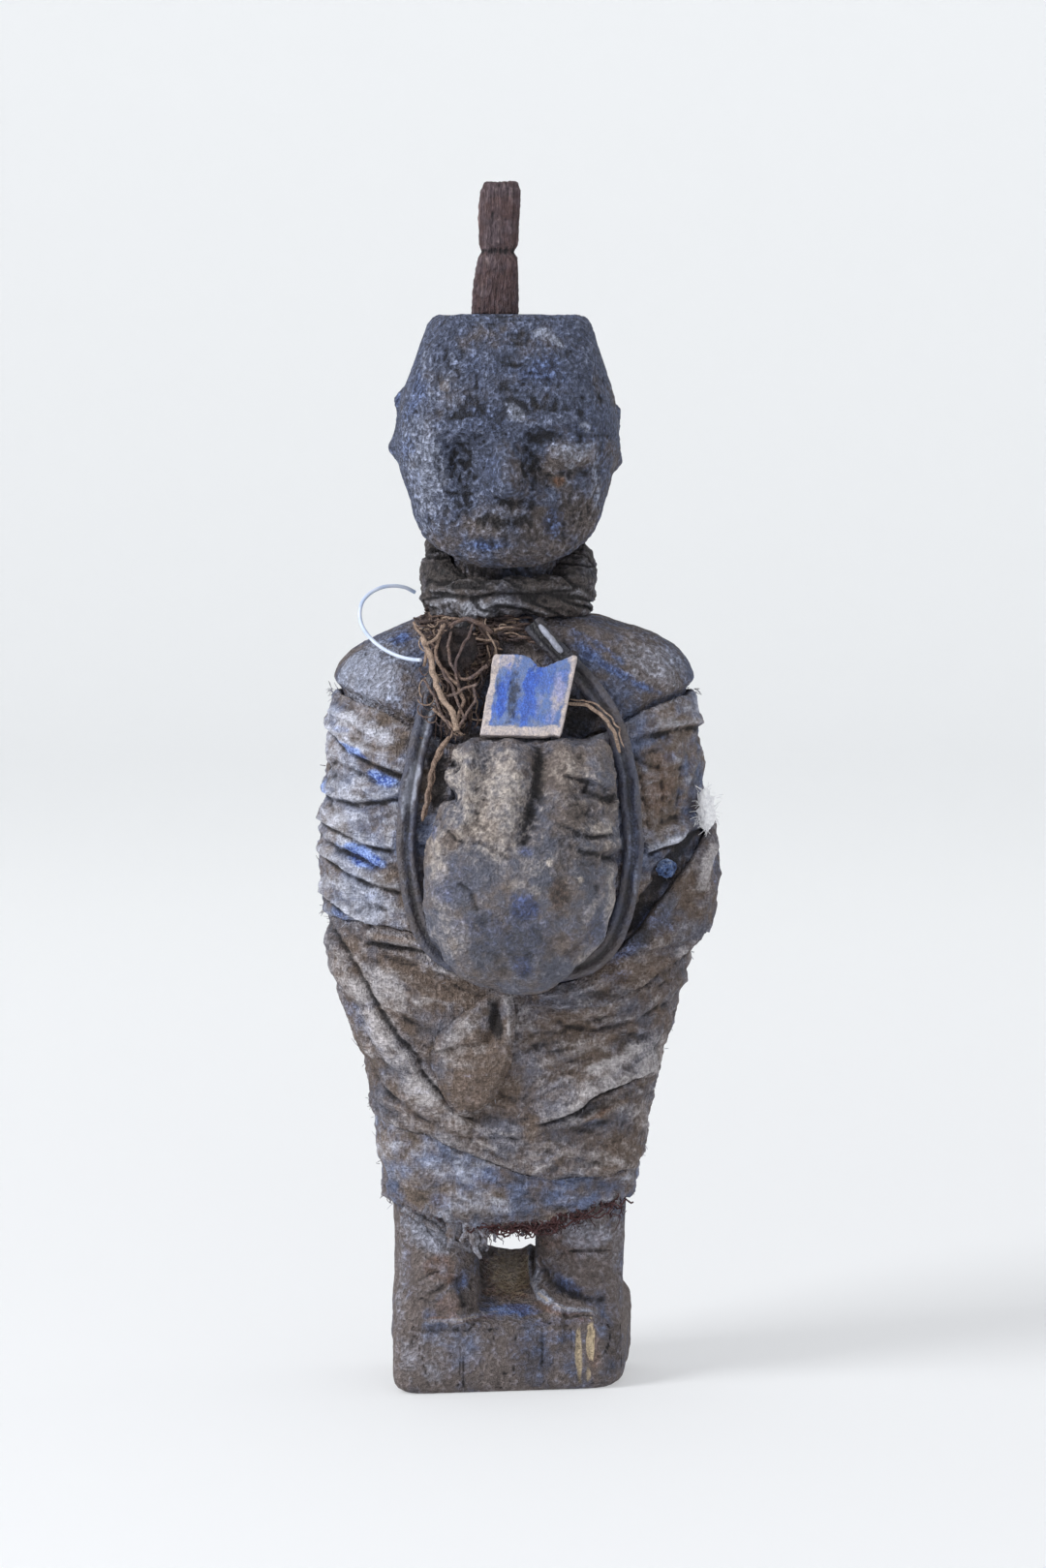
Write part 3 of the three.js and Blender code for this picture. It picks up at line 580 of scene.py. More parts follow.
lineRoute = [(-33.8, -9, 251.4), (-36.8, -11, 253), (-40.4, -13, 253.6), (-44, -15, 253.2),
    (-47.4, -17, 251.6), (-49.8, -19, 249), (-50.6, -21, 245.6), (-50, -23, 242.2), (-48, -25, 239),
    (-45, -27, 236.2), (-41.4, -29, 234), (-37.6, -31.4, 232.6), (-34, -34, 232), (-31.4, -36.4, 232)]
lineLook = {"diameter": 1.2}
linePath = smoothLine(lineRoute, 6)
lineCurve = bpy.data.curves.new("line_loop_nylon", "CURVE")
lineCurve.dimensions = "3D"
lineCurve.bevel_depth = lineLook["diameter"] / 2 * mm
lineCurve.bevel_resolution = 3
lineCurve.use_fill_caps = True
lineSpline = lineCurve.splines.new("POLY")
lineSpline.points.add(len(linePath) - 1)
for splinePoint, at in zip(lineSpline.points, linePath):
    splinePoint.co = (*(at * mm), 1)
lineCurve.materials.append(nylonFinish)
lineLoop = linked("line_loop_nylon", lineCurve)
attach(lineLoop, "root")
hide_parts("line_loop")


# The bound body: its outer skin, read from the CAD cloth

body = {"axis": (-3.5, -1.0), "columns": 600, "low": 46, "high": 226, "castFrom": 0.2, "longest": 0.185,
    "softTurn": 2.4, "softRows": 1.8}
# Degrees from the front, the right side positive
turn = np.linspace(-180, 180, body["columns"], endpoint=False)
angle = (turn - 90) * deg
clothSkin = skinOf("chest_wrap", "hip_wrap", "skirt_wrap")
bodySkin = skinOf("chest_wrap", "hip_wrap", "skirt_wrap", "figure")


def softened(values, softness):  # values round the body, evened out over some degrees
    count = values.shape[-1]
    waves = np.fft.rfftfreq(count, 1 / count)
    fade = np.exp(-0.5 * (waves * softness * deg) ** 2)
    return np.fft.irfft(np.fft.rfft(values) * fade, count)


def readReach():
    levels = np.arange(body["low"], body["high"] + 1.0)
    table = np.full((len(levels), body["columns"]), np.nan)
    for i, a in enumerate(angle):
        out = Vector((math.cos(a), math.sin(a), 0))
        for j, z in enumerate(levels):
            start = Vector((body["axis"][0] * mm, body["axis"][1] * mm, z * mm)) + out * body["castFrom"]
            hit = clothSkin.ray_cast(start, -out)
            if hit[0] is not None and hit[3] < body["longest"]:
                table[j, i] = (body["castFrom"] - hit[3]) / mm
        good = np.where(~np.isnan(table[:, i]))[0]
        table[:, i] = np.interp(np.arange(len(levels)), good, table[good, i])
    table = softened(table, body["softTurn"])
    kernel = np.exp(-0.5 * (np.arange(-5, 6) / body["softRows"]) ** 2)
    padded = np.pad(table, ((5, 5), (0, 0)), "edge")
    return sum(w * padded[k:k + len(levels)] for k, w in enumerate(kernel / kernel.sum()))


reach = readReach()


def evenLoop(rows, softness=4.0):  # edge heights at every column, from a short table by angle
    return softened(np.interp(turn, *zip(*rows)), softness)


def bodyGrid(low, high, rows, columns=slice(None)):  # skin points and outward normals
    share = np.linspace(0, 1, rows)[:, None]
    z = low + (high - low) * share
    level = np.clip(z - body["low"], 0, reach.shape[0] - 1.001)
    i = level.astype(int)
    f = level - i
    column = np.arange(body["columns"])[columns]
    r = reach[i, column[None, :]] * (1 - f) + reach[i + 1, column[None, :]] * f
    a = angle[column][None, :]
    p = np.stack([body["axis"][0] + r * np.cos(a), body["axis"][1] + r * np.sin(a), z], -1)
    du = np.gradient(p, axis=1) if len(column) < body["columns"] else np.roll(p, -1, 1) - np.roll(p, 1, 1)
    dv = np.gradient(p, axis=0)
    n = np.cross(du, dv)
    n /= np.linalg.norm(n, axis=2)[..., None]
    return p, n


edges = {
    "chestTop": [(-180, 215), (-120, 219), (-85, 220.5), (-62, 216.5), (-45, 209.5), (-20, 203),
        (0, 201), (20, 203), (45, 209), (62, 217), (85, 220.5), (120, 219), (180, 215)],
    "chestLow": [(-180, 147), (-100, 150), (-60, 149.5), (-42, 146), (-15, 140), (0, 138), (30, 139),
        (60, 145), (100, 152), (180, 147)],
    "hipLow": [(-180, 84), (-90, 88), (-45, 82.5), (-25, 76.5), (0, 71.5), (25, 68.6), (60, 70.5),
        (100, 78), (180, 84)],
    "skirtLow": [(-180, 57), (-110, 60), (-70, 60), (-45, 56), (-20, 52.8), (0, 52.6), (25, 54.5),
        (55, 61), (90, 61), (140, 56), (180, 57)],
}
edges = {name: evenLoop(rows) for name, rows in edges.items()}

bodyFolds = [
    ("lap", 1.2, 0.9, 9, [(-64, 210), (-60, 208.5), (-55.2, 204.2), (-49.4, 200.8), (-39.3, 197.1),
        (-34, 196)]),
    ("lap", 1.0, 0.9, 8, [(-66, 190), (-61.7, 188.4), (-54, 187.2), (-43.8, 188.1), (-36, 190.5)]),
    ("lap", 1.1, 0.9, 7, [(-66, 181), (-62.3, 179.4), (-55.2, 176.5), (-47.8, 173.7), (-38, 172.9)]),
    ("groove", 1.2, 1.1, 0, [(-63, 174), (-55.8, 171), (-50.6, 169.2), (-44, 166)]),
    ("lap", 1.0, 0.9, 7, [(-66, 172), (-60, 168), (-55.2, 165.3), (-46.7, 162), (-36, 159.5)]),
    ("lap", 1.1, 0.8, 6, [(-66, 158), (-63, 156.5), (-57.6, 153.7), (-49.6, 149.4), (-44, 147)]),
    ("ridge", 1.0, 1.8, 0, [(-60, 215.5), (-52, 212.5), (-44, 208), (-38, 205)]),
    ("lap", 1.0, 0.8, 6, [(40, 208.6), (43.5, 209.2), (49.6, 210.3), (58, 209)]),
    ("groove", 0.5, 0.8, 0, [(35.9, 196.1), (38.5, 184.1), (39, 178)]),
    ("groove", 0.5, 0.8, 0, [(42, 200), (43.5, 190), (43.5, 178.8)]),
    ("groove", 0.4, 0.7, 0, [(49.6, 200), (49, 190), (48.1, 180)]),
    ("lap", 1.6, 0.8, 7, [(37, 171.4), (41.5, 172.9), (47.1, 174.1), (53.8, 176.4), (59, 179)]),
    ("groove", 1.1, 1.6, 0, [(40, 163), (46, 168.4), (50.5, 171.5), (56, 173.4)]),
    ("ridge", 1.3, 1.9, 0, [(-50, 146.2), (-42.4, 144.8), (-34, 144.2), (-26, 143)]),
    ("groove", 0.9, 0.9, 0, [(-50, 143), (-42, 142.3), (-30, 140.8), (-22, 138.4)]),
    ("ridge", 0.8, 1.3, 0, [(-46, 141.8), (-43.7, 141.4), (-34.3, 139.2), (-25.5, 135.9), (-17.1, 132.3)]),
    ("drop", 1.9, 0.9, 15, [(-64, 148), (-60.8, 145), (-57, 140.1), (-52.7, 134.6), (-49.4, 128),
        (-46, 121), (-40.5, 112.8), (-34.4, 107.6), (-31.4, 101.3), (-25.9, 95.3), (-19, 89), (-13, 85.6)]),
    ("groove", 0.8, 1.2, 0, [(-58, 132), (-52, 122), (-46, 110), (-40, 101)]),
    ("groove", 0.7, 1.2, 0, [(-52, 108), (-44, 97), (-34, 90), (-24, 86)]),
    ("lap", 1.7, 0.7, 11, [(3, 86.4), (8, 87.8), (17.3, 91.3), (22.1, 95.6), (29.4, 98.3), (36, 100.9),
        (44, 104)]),
    ("ridge", 0.7, 1.5, 0, [(2, 84.6), (12.5, 86.6), (24, 88.6), (34, 92)]),
    ("ridge", 0.8, 1.6, 0, [(10, 72.4), (22.2, 70.6), (34.5, 67.6), (40, 66)]),
    ("ridge", 0.8, 1.6, 0, [(12, 77.5), (24, 76), (36, 70.6), (42, 68)]),
    ("groove", 0.5, 0.8, 0, [(-18, 83), (-14.9, 82.1), (-7.2, 82), (2, 82.4)]),
    ("groove", 0.8, 1.3, 0, [(8, 120), (20, 116), (34, 118), (48, 124)]),
    ("ridge", 0.7, 1.8, 0, [(4, 108), (16, 105), (30, 108), (44, 114)]),
    ("groove", 2.4, 3.0, 0, [(57, 180), (53.6, 175.5), (48, 168), (41.5, 159), (30.1, 146), (22, 139)]),
    ("groove", 1.0, 1.3, 0, [(12, 131), (24, 128), (34, 129.6), (44, 134)]),
    ("groove", 0.8, 1.2, 0, [(28, 141), (35, 136), (40, 128)]),
    ("groove", 0.7, 1.1, 0, [(-60, 199), (-52, 196), (-44, 192.6)]),
    ("ridge", 0.8, 2.6, 0, [(-62, 163), (-54, 160), (-44, 156)]),
    ("groove", 0.5, 0.8, 0, [(33, 204), (36, 200), (46, 197), (54, 198)]),
]
# The dark spots are mostly painted shade: in creases, under fold edges, beside the strap and pouch, below
# the pouch and along the upper edge of the sling. Some pale spots are painted highlights on the lit left
# sleeve and hip and on the bulge of the right hip cloth; the rest are dusty crust.
bodySpots = {
    "blue": [(-52, 202.6, 6.5, 1.7, -25, 1.0), (-44, 194.6, 6, 2.4, -24, 1.1),
        (-50.6, 170.4, 7.4, 3.4, -22, 1.5), (-61.5, 190, 1.5, 3.5, 0, 0.8),
        (-57, 150.6, 4, 2.6, -40, 0.6), (-38.5, 176, 2.5, 6, 0, 0.5), (-47, 158, 4, 3, 0, 0.35),
        (13, 133.6, 9, 3, 5, 0.7), (6, 66, 14, 6, 5, 0.3), (-15, 70, 9, 6, 0, 0.3),
        (18, 61, 9, 4, 15, 0.25), (-50, 118, 4, 8, 35, 0.35), (-26, 62, 5, 4, 0, 0.4),
        (38, 150, 5, 6, 30, 0.5), (46, 201, 3, 3, 0, 0.4), (-56, 209, 3, 1.5, 0, 0.5)],
    "pale": [(-56, 186, 9, 34, 0, 0.4), (-50, 160, 13, 7, -10, 0.5), (-52, 177, 10, 3, -15, 0.35),
        (-48, 211, 12, 4, -25, 0.35), (-46, 154, 12, 6, 0, 0.65), (-40, 180, 3.5, 12, 0, 0.45),
        (-44, 128, 10, 8, -35, 0.65), (-34, 74, 6, 12, 0, 0.15), (-44, 116, 6, 10, 40, 0.55),
        (-30, 98, 5, 7, 40, 0.7), (-30, 140.4, 12, 1.6, -16, 0.7), (22, 104, 4, 2, 10, 1.0),
        (27, 105.5, 4, 2.4, 20, 1.0), (33.5, 109, 4.5, 3, 40, 0.9), (19.7, 97, 3, 1.5, 25, 1.0),
        (16.4, 93, 3, 1.4, 20, 0.9), (40, 106, 6, 10, -20, 0.5), (47.5, 175.5, 6, 1.2, 12, 0.6),
        (-14, 60, 16, 6, 0, 0.4), (8, 78, 10, 4, 0, 0.3), (-61, 214, 3, 3, 0, 0.7),
        (-49, 205, 4, 3, 0, 0.5), (10, 100, 8, 4, 10, 0.3)],
    "dark": [(48, 169.5, 8, 1.6, 22, 0.9), (-44, 142, 9, 0.8, -8, 0.6), (26, 92, 9, 1.6, 22, 0.75),
        (33, 158, 4, 10, 0, 0.3), (52, 174, 6, 2.4, 55, 0.9), (45, 164, 9, 3.2, 50, 0.9),
        (35, 152, 9, 3.8, 50, 1.0), (26, 142, 6, 4, 40, 1.0), (-26, 196, 4, 12, 0, 1.2),
        (20, 204, 6, 4, 0, 0.9), (-52, 189, 12, 4, -8, 0.3), (28, 132, 13, 6, 6, 0.65),
        (36, 196, 3, 12, -8, 0.35), (-36, 203, 3, 6, 0, 0.3), (8, 112, 12, 6, 0, 0.35),
        (-47, 199.4, 6, 0.9, -22, 0.5), (-1, 52, 6, 2, 0, 0.8), (40, 208, 6, 1.2, 0, 0.6)],
    "warm": [(26, 90.6, 8, 1.8, 22, 1.1), (-28, 131, 14, 6, -25, 0.7), (-18, 106, 9, 10, 0, 0.6),
        (20, 118, 18, 8, 0, 0.5), (42, 192, 10, 16, 0, 0.9), (33, 160, 2.4, 14, 0, 1.0),
        (28, 75, 10, 7, 0, 0.5), (48, 210, 8, 3, 0, 0.7), (34, 158, 4, 10, 0, 0.6),
        (-40, 144.6, 9, 1.6, -5, 0.8), (-36, 62, 6, 4, 0, 0.5), (14, 55, 14, 2, 12, 0.6)],
}


def bodyRelief(p, facing):
    x, z = p[:, 0], p[:, 2]
    drawn = np.stack([x, p[:, 1], z - 0.32 * np.abs(x)], 1)  # folds fall from the sides to the middle
    height = 0.7 * cloud(drawn, (26, 26, 11), 2, 11) + 0.85 * crests(drawn, (36, 36, 10), 21)
    height += 0.5 * crests(drawn, (16, 16, 5.5), 31) - 0.4 * crests(drawn, (24, 24, 4.5), 36)
    return height * (1 - 0.25 * facing) + 1.4 * foldsAt(x, z, bodyFolds) * facing


def bodyMarks(p, facing, relief, grit, rows):
    x, z = p[:, 0], p[:, 2]
    rough = 0.36 * cloud(p, 5, 3, 51) + 0.2 * cloud(p, (9, 9, 2), 2, 54)
    wide = cloud(p, 22, 2, 61)
    marks = {}
    for name in ("blue", "pale", "dark", "warm"):
        marks[name] = spots(x, z, rough, rows.get(name, [])) * facing
    away = 1 - 0.6 * facing
    bloom = 0.6 * smoothStep(0.3, 0.8, cloud(p, (12, 12, 5), 2, 71)) * away
    marks["blue"] = np.maximum(marks["blue"], bloom)
    marks["pale"] = np.maximum(marks["pale"], 0.4 * smoothStep(-0.1, 0.7, wide) * away) + 0.12
    marks["warm"] = np.maximum(marks["warm"], 0.4 * smoothStep(0.0, 0.7, -wide) * away)
    band = cloud(p, (16, 16, 6), 3, 74) + 0.5 * cloud(p, (5, 5, 3.4), 3, 77)
    marks["dark"] = marks["dark"] + 0.4 * smoothStep(0.1, 0.8, -band)
    marks["pale"] = marks["pale"] + 0.45 * smoothStep(0.05, 0.8, band)
    # Painted shade in the low parts of the folds and the grit
    marks["hollow"] = np.clip(-relief * 0.14 - grit * 0.15, 0, 1)
    marks["pale"] = marks["pale"] + np.clip(relief * 0.1 + grit * 0.1, -0.2, 0.4)
    return marks


def wrap(name, low, high, look, finish, node):
    rows, insideRows = look["rows"], 7
    p, n = bodyGrid(low, high, rows)
    columns = body["columns"]
    flat, normal = p.reshape(-1, 3), n.reshape(-1, 3)
    facing = smoothStep(-0.35, 0.2, -normal[:, 1])
    relief = bodyRelief(flat, facing)
    grit = cloud(flat, look["grit"], 3, 41, 0.6)
    fromLow = flat[:, 2] - np.tile(low, rows)
    fromHigh = np.tile(high, rows) - flat[:, 2]
    height = relief * look["depth"] + grit * look["gritDepth"]
    height += look["lowLip"] * hump(fromLow, 4) + look["highLip"] * hump(fromHigh, 4)
    height -= 0.9 * (1 - smoothStep(0, 1.2, fromLow)) + 0.9 * (1 - smoothStep(0, 1.2, fromHigh))
    height = np.maximum(height, 0.7 - look["thickness"])
    outside = (flat + normal * height[:, None]).reshape(rows, columns, 3)
    q, m = bodyGrid(low, high, insideRows)
    inside = (q - m * look["thickness"])[::-1]
    points = np.concatenate([outside, inside]).reshape(-1, 3)
    mesh = newMesh(name, points, [gridFaces(rows + insideRows, columns, True, True)])
    marks = lined(bodyMarks(flat, facing, relief, grit, bodySpots), insideRows * columns)
    return place(name, mesh, finish, [node], marks, (7, 0.5, 0.2))


def ragged(seed, size, depth):  # uneven edge, the same at both ends of the loop
    ringPoints = np.stack([np.cos(angle) * 60, np.sin(angle) * 60, np.zeros(len(angle))], 1)
    return depth * cloud(ringPoints, size, 4, seed, 0.7)


chestLook = {"rows": 110, "depth": 1.0, "grit": 2.4, "gritDepth": 0.32, "thickness": 2.4,
    "lowLip": 0.7, "highLip": -0.5}
chest = wrap("chest_cloth", edges["chestLow"] + ragged(3, 6, 0.5), edges["chestTop"] + ragged(5, 7, 0.9),
    chestLook, clothFinish, "chest_wrap")

hipLook = {"rows": 110, "depth": 1.0, "grit": 2.2, "gritDepth": 0.3, "thickness": 2.4, "lowLip": 0.8,
    "highLip": -0.8}
hip = wrap("hip_cloth", edges["hipLow"] + ragged(7, 8, 0.5), edges["chestLow"] - 0.4 + ragged(3, 6, 0.5),
    hipLook, darkClothFinish, "hip_wrap")

skirtLook = {"rows": 44, "depth": 0.8, "grit": 2.0, "gritDepth": 0.3, "thickness": 1.6, "lowLip": 0.2,
    "highLip": -0.7}
skirtEdge = edges["skirtLow"] + ragged(9, 5, 1.5)
skirt = wrap("skirt_cloth", skirtEdge, edges["hipLow"] - 0.4 + ragged(7, 8, 0.5), skirtLook,
    clothFinish, "skirt_wrap")


# The carved figure

figureLook = {"voxel": 0.8, "rounds": 4, "headRounds": 14, "thin": 0.4, "grit": 0.9}
neck = (-4.6, -1.5)
# Outer edge of the ear on the left: height, how far across the wood may reach
earLine = [(290, -60), (293, -44), (303, -44), (306, -38.6), (309, -40.4), (311.4, -40.2),
    (315.4, -37.4), (318, -35.6), (319, -60)]


def carvedFigure():
    mesh = remeshed("figure", figureLook["voxel"], figureLook["rounds"])
    high = pointsOf(mesh)[:, 2] > 60
    mesh = modified(mesh, "SMOOTH", high, factor=0.5, iterations=figureLook["headRounds"])
    p = pointsOf(mesh)
    z = p[:, 2]
    p[:, 0] = np.maximum(p[:, 0], np.interp(z, *zip(*earLine)))
    setPoints(mesh, p)
    mesh = modified(mesh, "SMOOTH", (z > 292) & (z < 321) & (p[:, 0] < -33), factor=0.5, iterations=4)
    p = pointsOf(mesh)
    fromNeck = np.hypot(p[:, 0] - neck[0], p[:, 1] - neck[1])
    hidden = ((z > 62) & (z < 200)) | (z < 0.5) | ((z > 245) & (z < 262) & (fromNeck < 20))
    return modified(mesh, "DECIMATE", hidden, ratio=figureLook["thin"])


# The dark spots are mostly painted shade: in the eye hollow, beside and under the nose, under the brow and
# eyelid, over the front plane and lower face, under the chin, on the torso behind the tile and knot, under
# the hem, round the feet and along the foot of the base. Some pale spots are painted light on the lit left
# planes of the head, the left cheek and the left shoulder; the rest are crust and bare wood.
faceSpots = {
    "blue": [(5.9, 320.2, 9, 7, 0, 0.6), (9.5, 274, 4, 7, 0, 0.6), (-10.4, 267, 8, 2, 0, 0.8),
        (-9, 290, 3, 7, 10, 0.35), (-37.6, 309, 7, 8, 0, 0.7), (-39, 297, 7, 8, 0, 0.6),
        (-33, 317, 5, 9, 20, 0.6), (-34, 284, 5, 10, -10, 0.4), (-20, 304, 10, 4, 0, 0.35),
        (25, 300, 4, 18, 0, 0.3), (-14, 322, 14, 6, 0, 0.3), (-38.3, 237.6, 4.5, 3, 0, 1.2),
        (-44, 239, 5, 3, 0, 0.6), (20, 233.4, 6, 2.6, -36, 0.8), (28, 228, 9, 2.0, -30, 0.85),
        (38, 222.6, 7, 1.4, -22, 0.7), (17, 239, 4, 2, -30, 0.5), (26, 234, 8, 1.4, -34, 0.6),
        (-4, 24.4, 11, 1.8, 2, 0.9), (15, 31.6, 9, 2.6, -28, 0.6), (2, 12, 9, 10, 0, 0.32),
        (12, 18, 10, 3, 0, 0.35), (-19.5, 35, 3.4, 4, 0, 0.5), (29, 15, 4, 12, 0, 0.2),
        (-36, 40, 3, 14, 0, 0.3), (12, 22, 14, 1.6, 0, 0.4)],
    "pale": [(-3, 308.7, 2.8, 3.4, 0, 1.7), (9.5, 330.2, 5.4, 1.2, -38, 1.1),
        (6, 331.6, 5, 1.0, -14, 0.9), (19, 303.2, 2.8, 1.0, -35, 1.2), (15, 296.4, 7, 3.6, 0, 0.6),
        (14.6, 291.4, 2, 1.4, 0, 0.9), (-27, 283, 2, 2, 0, 0.7), (-25, 277, 3, 2, 0, 0.5),
        (-50, 226, 15, 13, 0, 1.3), (-46, 236, 10, 4, 10, 0.6), (-31, 286, 5, 12, 8, 0.35),
        (42, 230, 14, 7, -25, 0.6), (-28, 8, 5, 5, 0, 0.5), (-36, 12, 5, 8, 0, 0.4),
        (22.5, 286, 2, 11, 0, 0.5), (-35, 300, 6, 28, 0, 0.4), (-31, 322, 5, 14, 14, 0.3),
        (-10, 277, 12, 8, 0, 0.15), (-39, 34, 3, 18, 0, 0.4), (30, 46, 3, 18, 0, 0.3),
        (-26, 50, 14, 7, 0, 1.0), (-5, 36, 8, 8, 0, 0.6), (-31, 290, 8, 22, 0, 0.75),
        (-24, 312, 8, 16, 0, 0.3), (-26, 39, 5, 3, 0, 0.4), (-24, 14, 14, 8, 0, 0.3),
        (-20, 23.6, 13, 0.9, 2, 1.0), (-7, 24.4, 4, 0.8, 0, 0.9), (3.6, 34, 2.2, 7, 8, 1.2),
        (7, 27.6, 4.4, 2.0, -45, 1.2), (16, 24.2, 9, 1.6, -6, 1.1), (-4.6, 243, 26, 3, 0, 0.15),
        (20, 48, 12, 8, 0, 0.65)],
    "dark": [(-19.6, 293, 5.4, 7, 0, 0.5), (-18.4, 283, 3.4, 8, -8, 0.4), (3.0, 292, 5, 10, 8, 0.55),
        (-3.6, 280, 7, 2.4, 0, 0.25), (-5, 312, 22, 18, 0, 0.26), (-2, 273, 17, 9, 0, 0.45),
        (13, 278, 9, 14, 0, 0.4), (-10, 298, 10, 6, 0, 0.25), (0, 287, 6, 8, 0, 0.3),
        (14, 289, 7, 1.5, 6, 0.35), (-3, 256, 34, 6, 0, 0.8), (3, 300.4, 9, 2, 5, 0.4),
        (-13.4, 32, 1.6, 6, 8, 0.6), (1.8, 39.6, 1.4, 2.4, 0, 0.5), (-4, 22.4, 16, 1.2, 2, 0.3),
        (4, 17, 14, 3, 0, 0.25), (-18, 30, 2.6, 5, 12, 0.6), (3, 11, 7, 10, 0, 0.5),
        (29, 12, 5, 12, 0, 0.5), (15, 31, 8, 2.4, -28, 0.6), (-4, 212, 22, 26, 0, 0.5),
        (18, 214, 7, 10, 0, 1.0), (-26, 212, 5, 8, 0, 0.8), (14, 232, 10, 4, -40, 0.5),
        (-4, 3, 44, 2.4, 0, 0.3), (-12, 20.4, 26, 0.9, 0, 0.2), (20, 42.8, 7, 0.8, 0, 0.6),
        (-34, 52, 5, 6, 0, 0.3)],
    "warm": [(10.7, 286.6, 2.2, 2.6, 0, 1.4), (-24.1, 315.4, 2.0, 1.6, 0, 1.2), (-26, 39, 8, 6, 0, 0.7),
        (-24, 28, 7, 5, 0, 0.5), (16, 46, 16, 7, 0, 0.6), (-28, 50, 14, 8, 0, 0.5),
        (-4, 34, 10, 9, 0, 1.0), (3.2, 34, 2, 7, 10, 0.9), (12, 24, 10, 1.6, -14, 0.9),
        (-20, 23.6, 14, 1.2, 0, 0.9), (-22, 10, 16, 9, 0, 0.3), (12, 272, 14, 12, 0, 0.4),
        (34, 231, 18, 6, -25, 0.4), (12, 294, 9, 12, 0, 0.25), (22, 12, 3, 12, 0, 0.5)],
}
bareWood = [(-4, 34, 11, 10, 0, 0.56), (-18, 23.5, 7, 0.5, 0, 0.6), (-9, 24.2, 3, 0.4, 0, 0.5),
    (3.6, 34, 1.4, 6, 8, 0.5), (7, 27.8, 3.6, 1.2, -45, 0.55), (15, 24.4, 8, 0.8, -6, 0.5),
    (21.3, 15.6, 1.7, 7.2, 0, 1.3), (17.7, 11.4, 1.5, 10.4, 3, 0.9), (20.6, 5.2, 1.3, 4, 0, 0.6)]
legFolds = [
    ("ridge", 2.0, 2.2, 0, [(2.2, 43), (2.8, 36), (5, 30), (9, 26), (14.6, 24.2), (25.1, 23.4)]),
    ("groove", 1.5, 2.2, 0, [(5, 38), (8.6, 33), (14, 29.8), (21, 28), (28, 27.6)]),
    ("groove", 0.6, 0.8, 0, [(10, 41.4), (16, 42.8), (23, 43.2), (30, 42)]),
    ("groove", 0.8, 1.6, 0, [(-15.6, 36), (-15.2, 31), (-15.6, 27), (-16, 25)]),
    ("groove", 1.0, 2.0, 0, [(-21.3, 37), (-19.6, 32), (-18.3, 26.8)]),
    ("ridge", 1.0, 3.4, 0, [(-33, 41), (-27, 39), (-23, 33), (-24, 27)]),
    ("groove", 0.5, 0.9, 0, [(-31, 51.5), (-26, 47.6), (-21.3, 43.8)]),
    ("groove", 0.35, 0.8, 0, [(-38, 20.6), (-24, 20.2), (-8, 20.4), (8, 20.8), (20, 21.2)]),
    ("ridge", 1.4, 5.0, 0, [(-29, 37), (-27, 33)]),
    ("groove", 0.5, 0.8, 0, [(-33, 31), (-29, 29.4), (-24, 30)]),
]


# Height, across, half width, up and half height of the forms of the worn face
faceForms = [
    (1.3, -16, 8, 303, 3), (1.4, 8, 10, 305, 3),  # brows
    (-2.0, -19.6, 4.8, 292, 7), (-1.3, -18.4, 3.4, 282, 7),  # hollow of the eye on the left
    (1.4, 14.5, 6, 295.4, 4), (-1.2, 6, 6, 300.5, 2.4),  # lid of the eye on the right
    (-2.2, 3.4, 3.6, 291, 10), (-1.0, -4.6, 7, 280, 2.2),  # hollows beside and below the nose
    (0.7, -4.6, 7, 277.2, 1.8), (-0.5, -4.6, 7, 274.4, 1.5), (0.6, -4.6, 8, 271.4, 2),  # lips
]


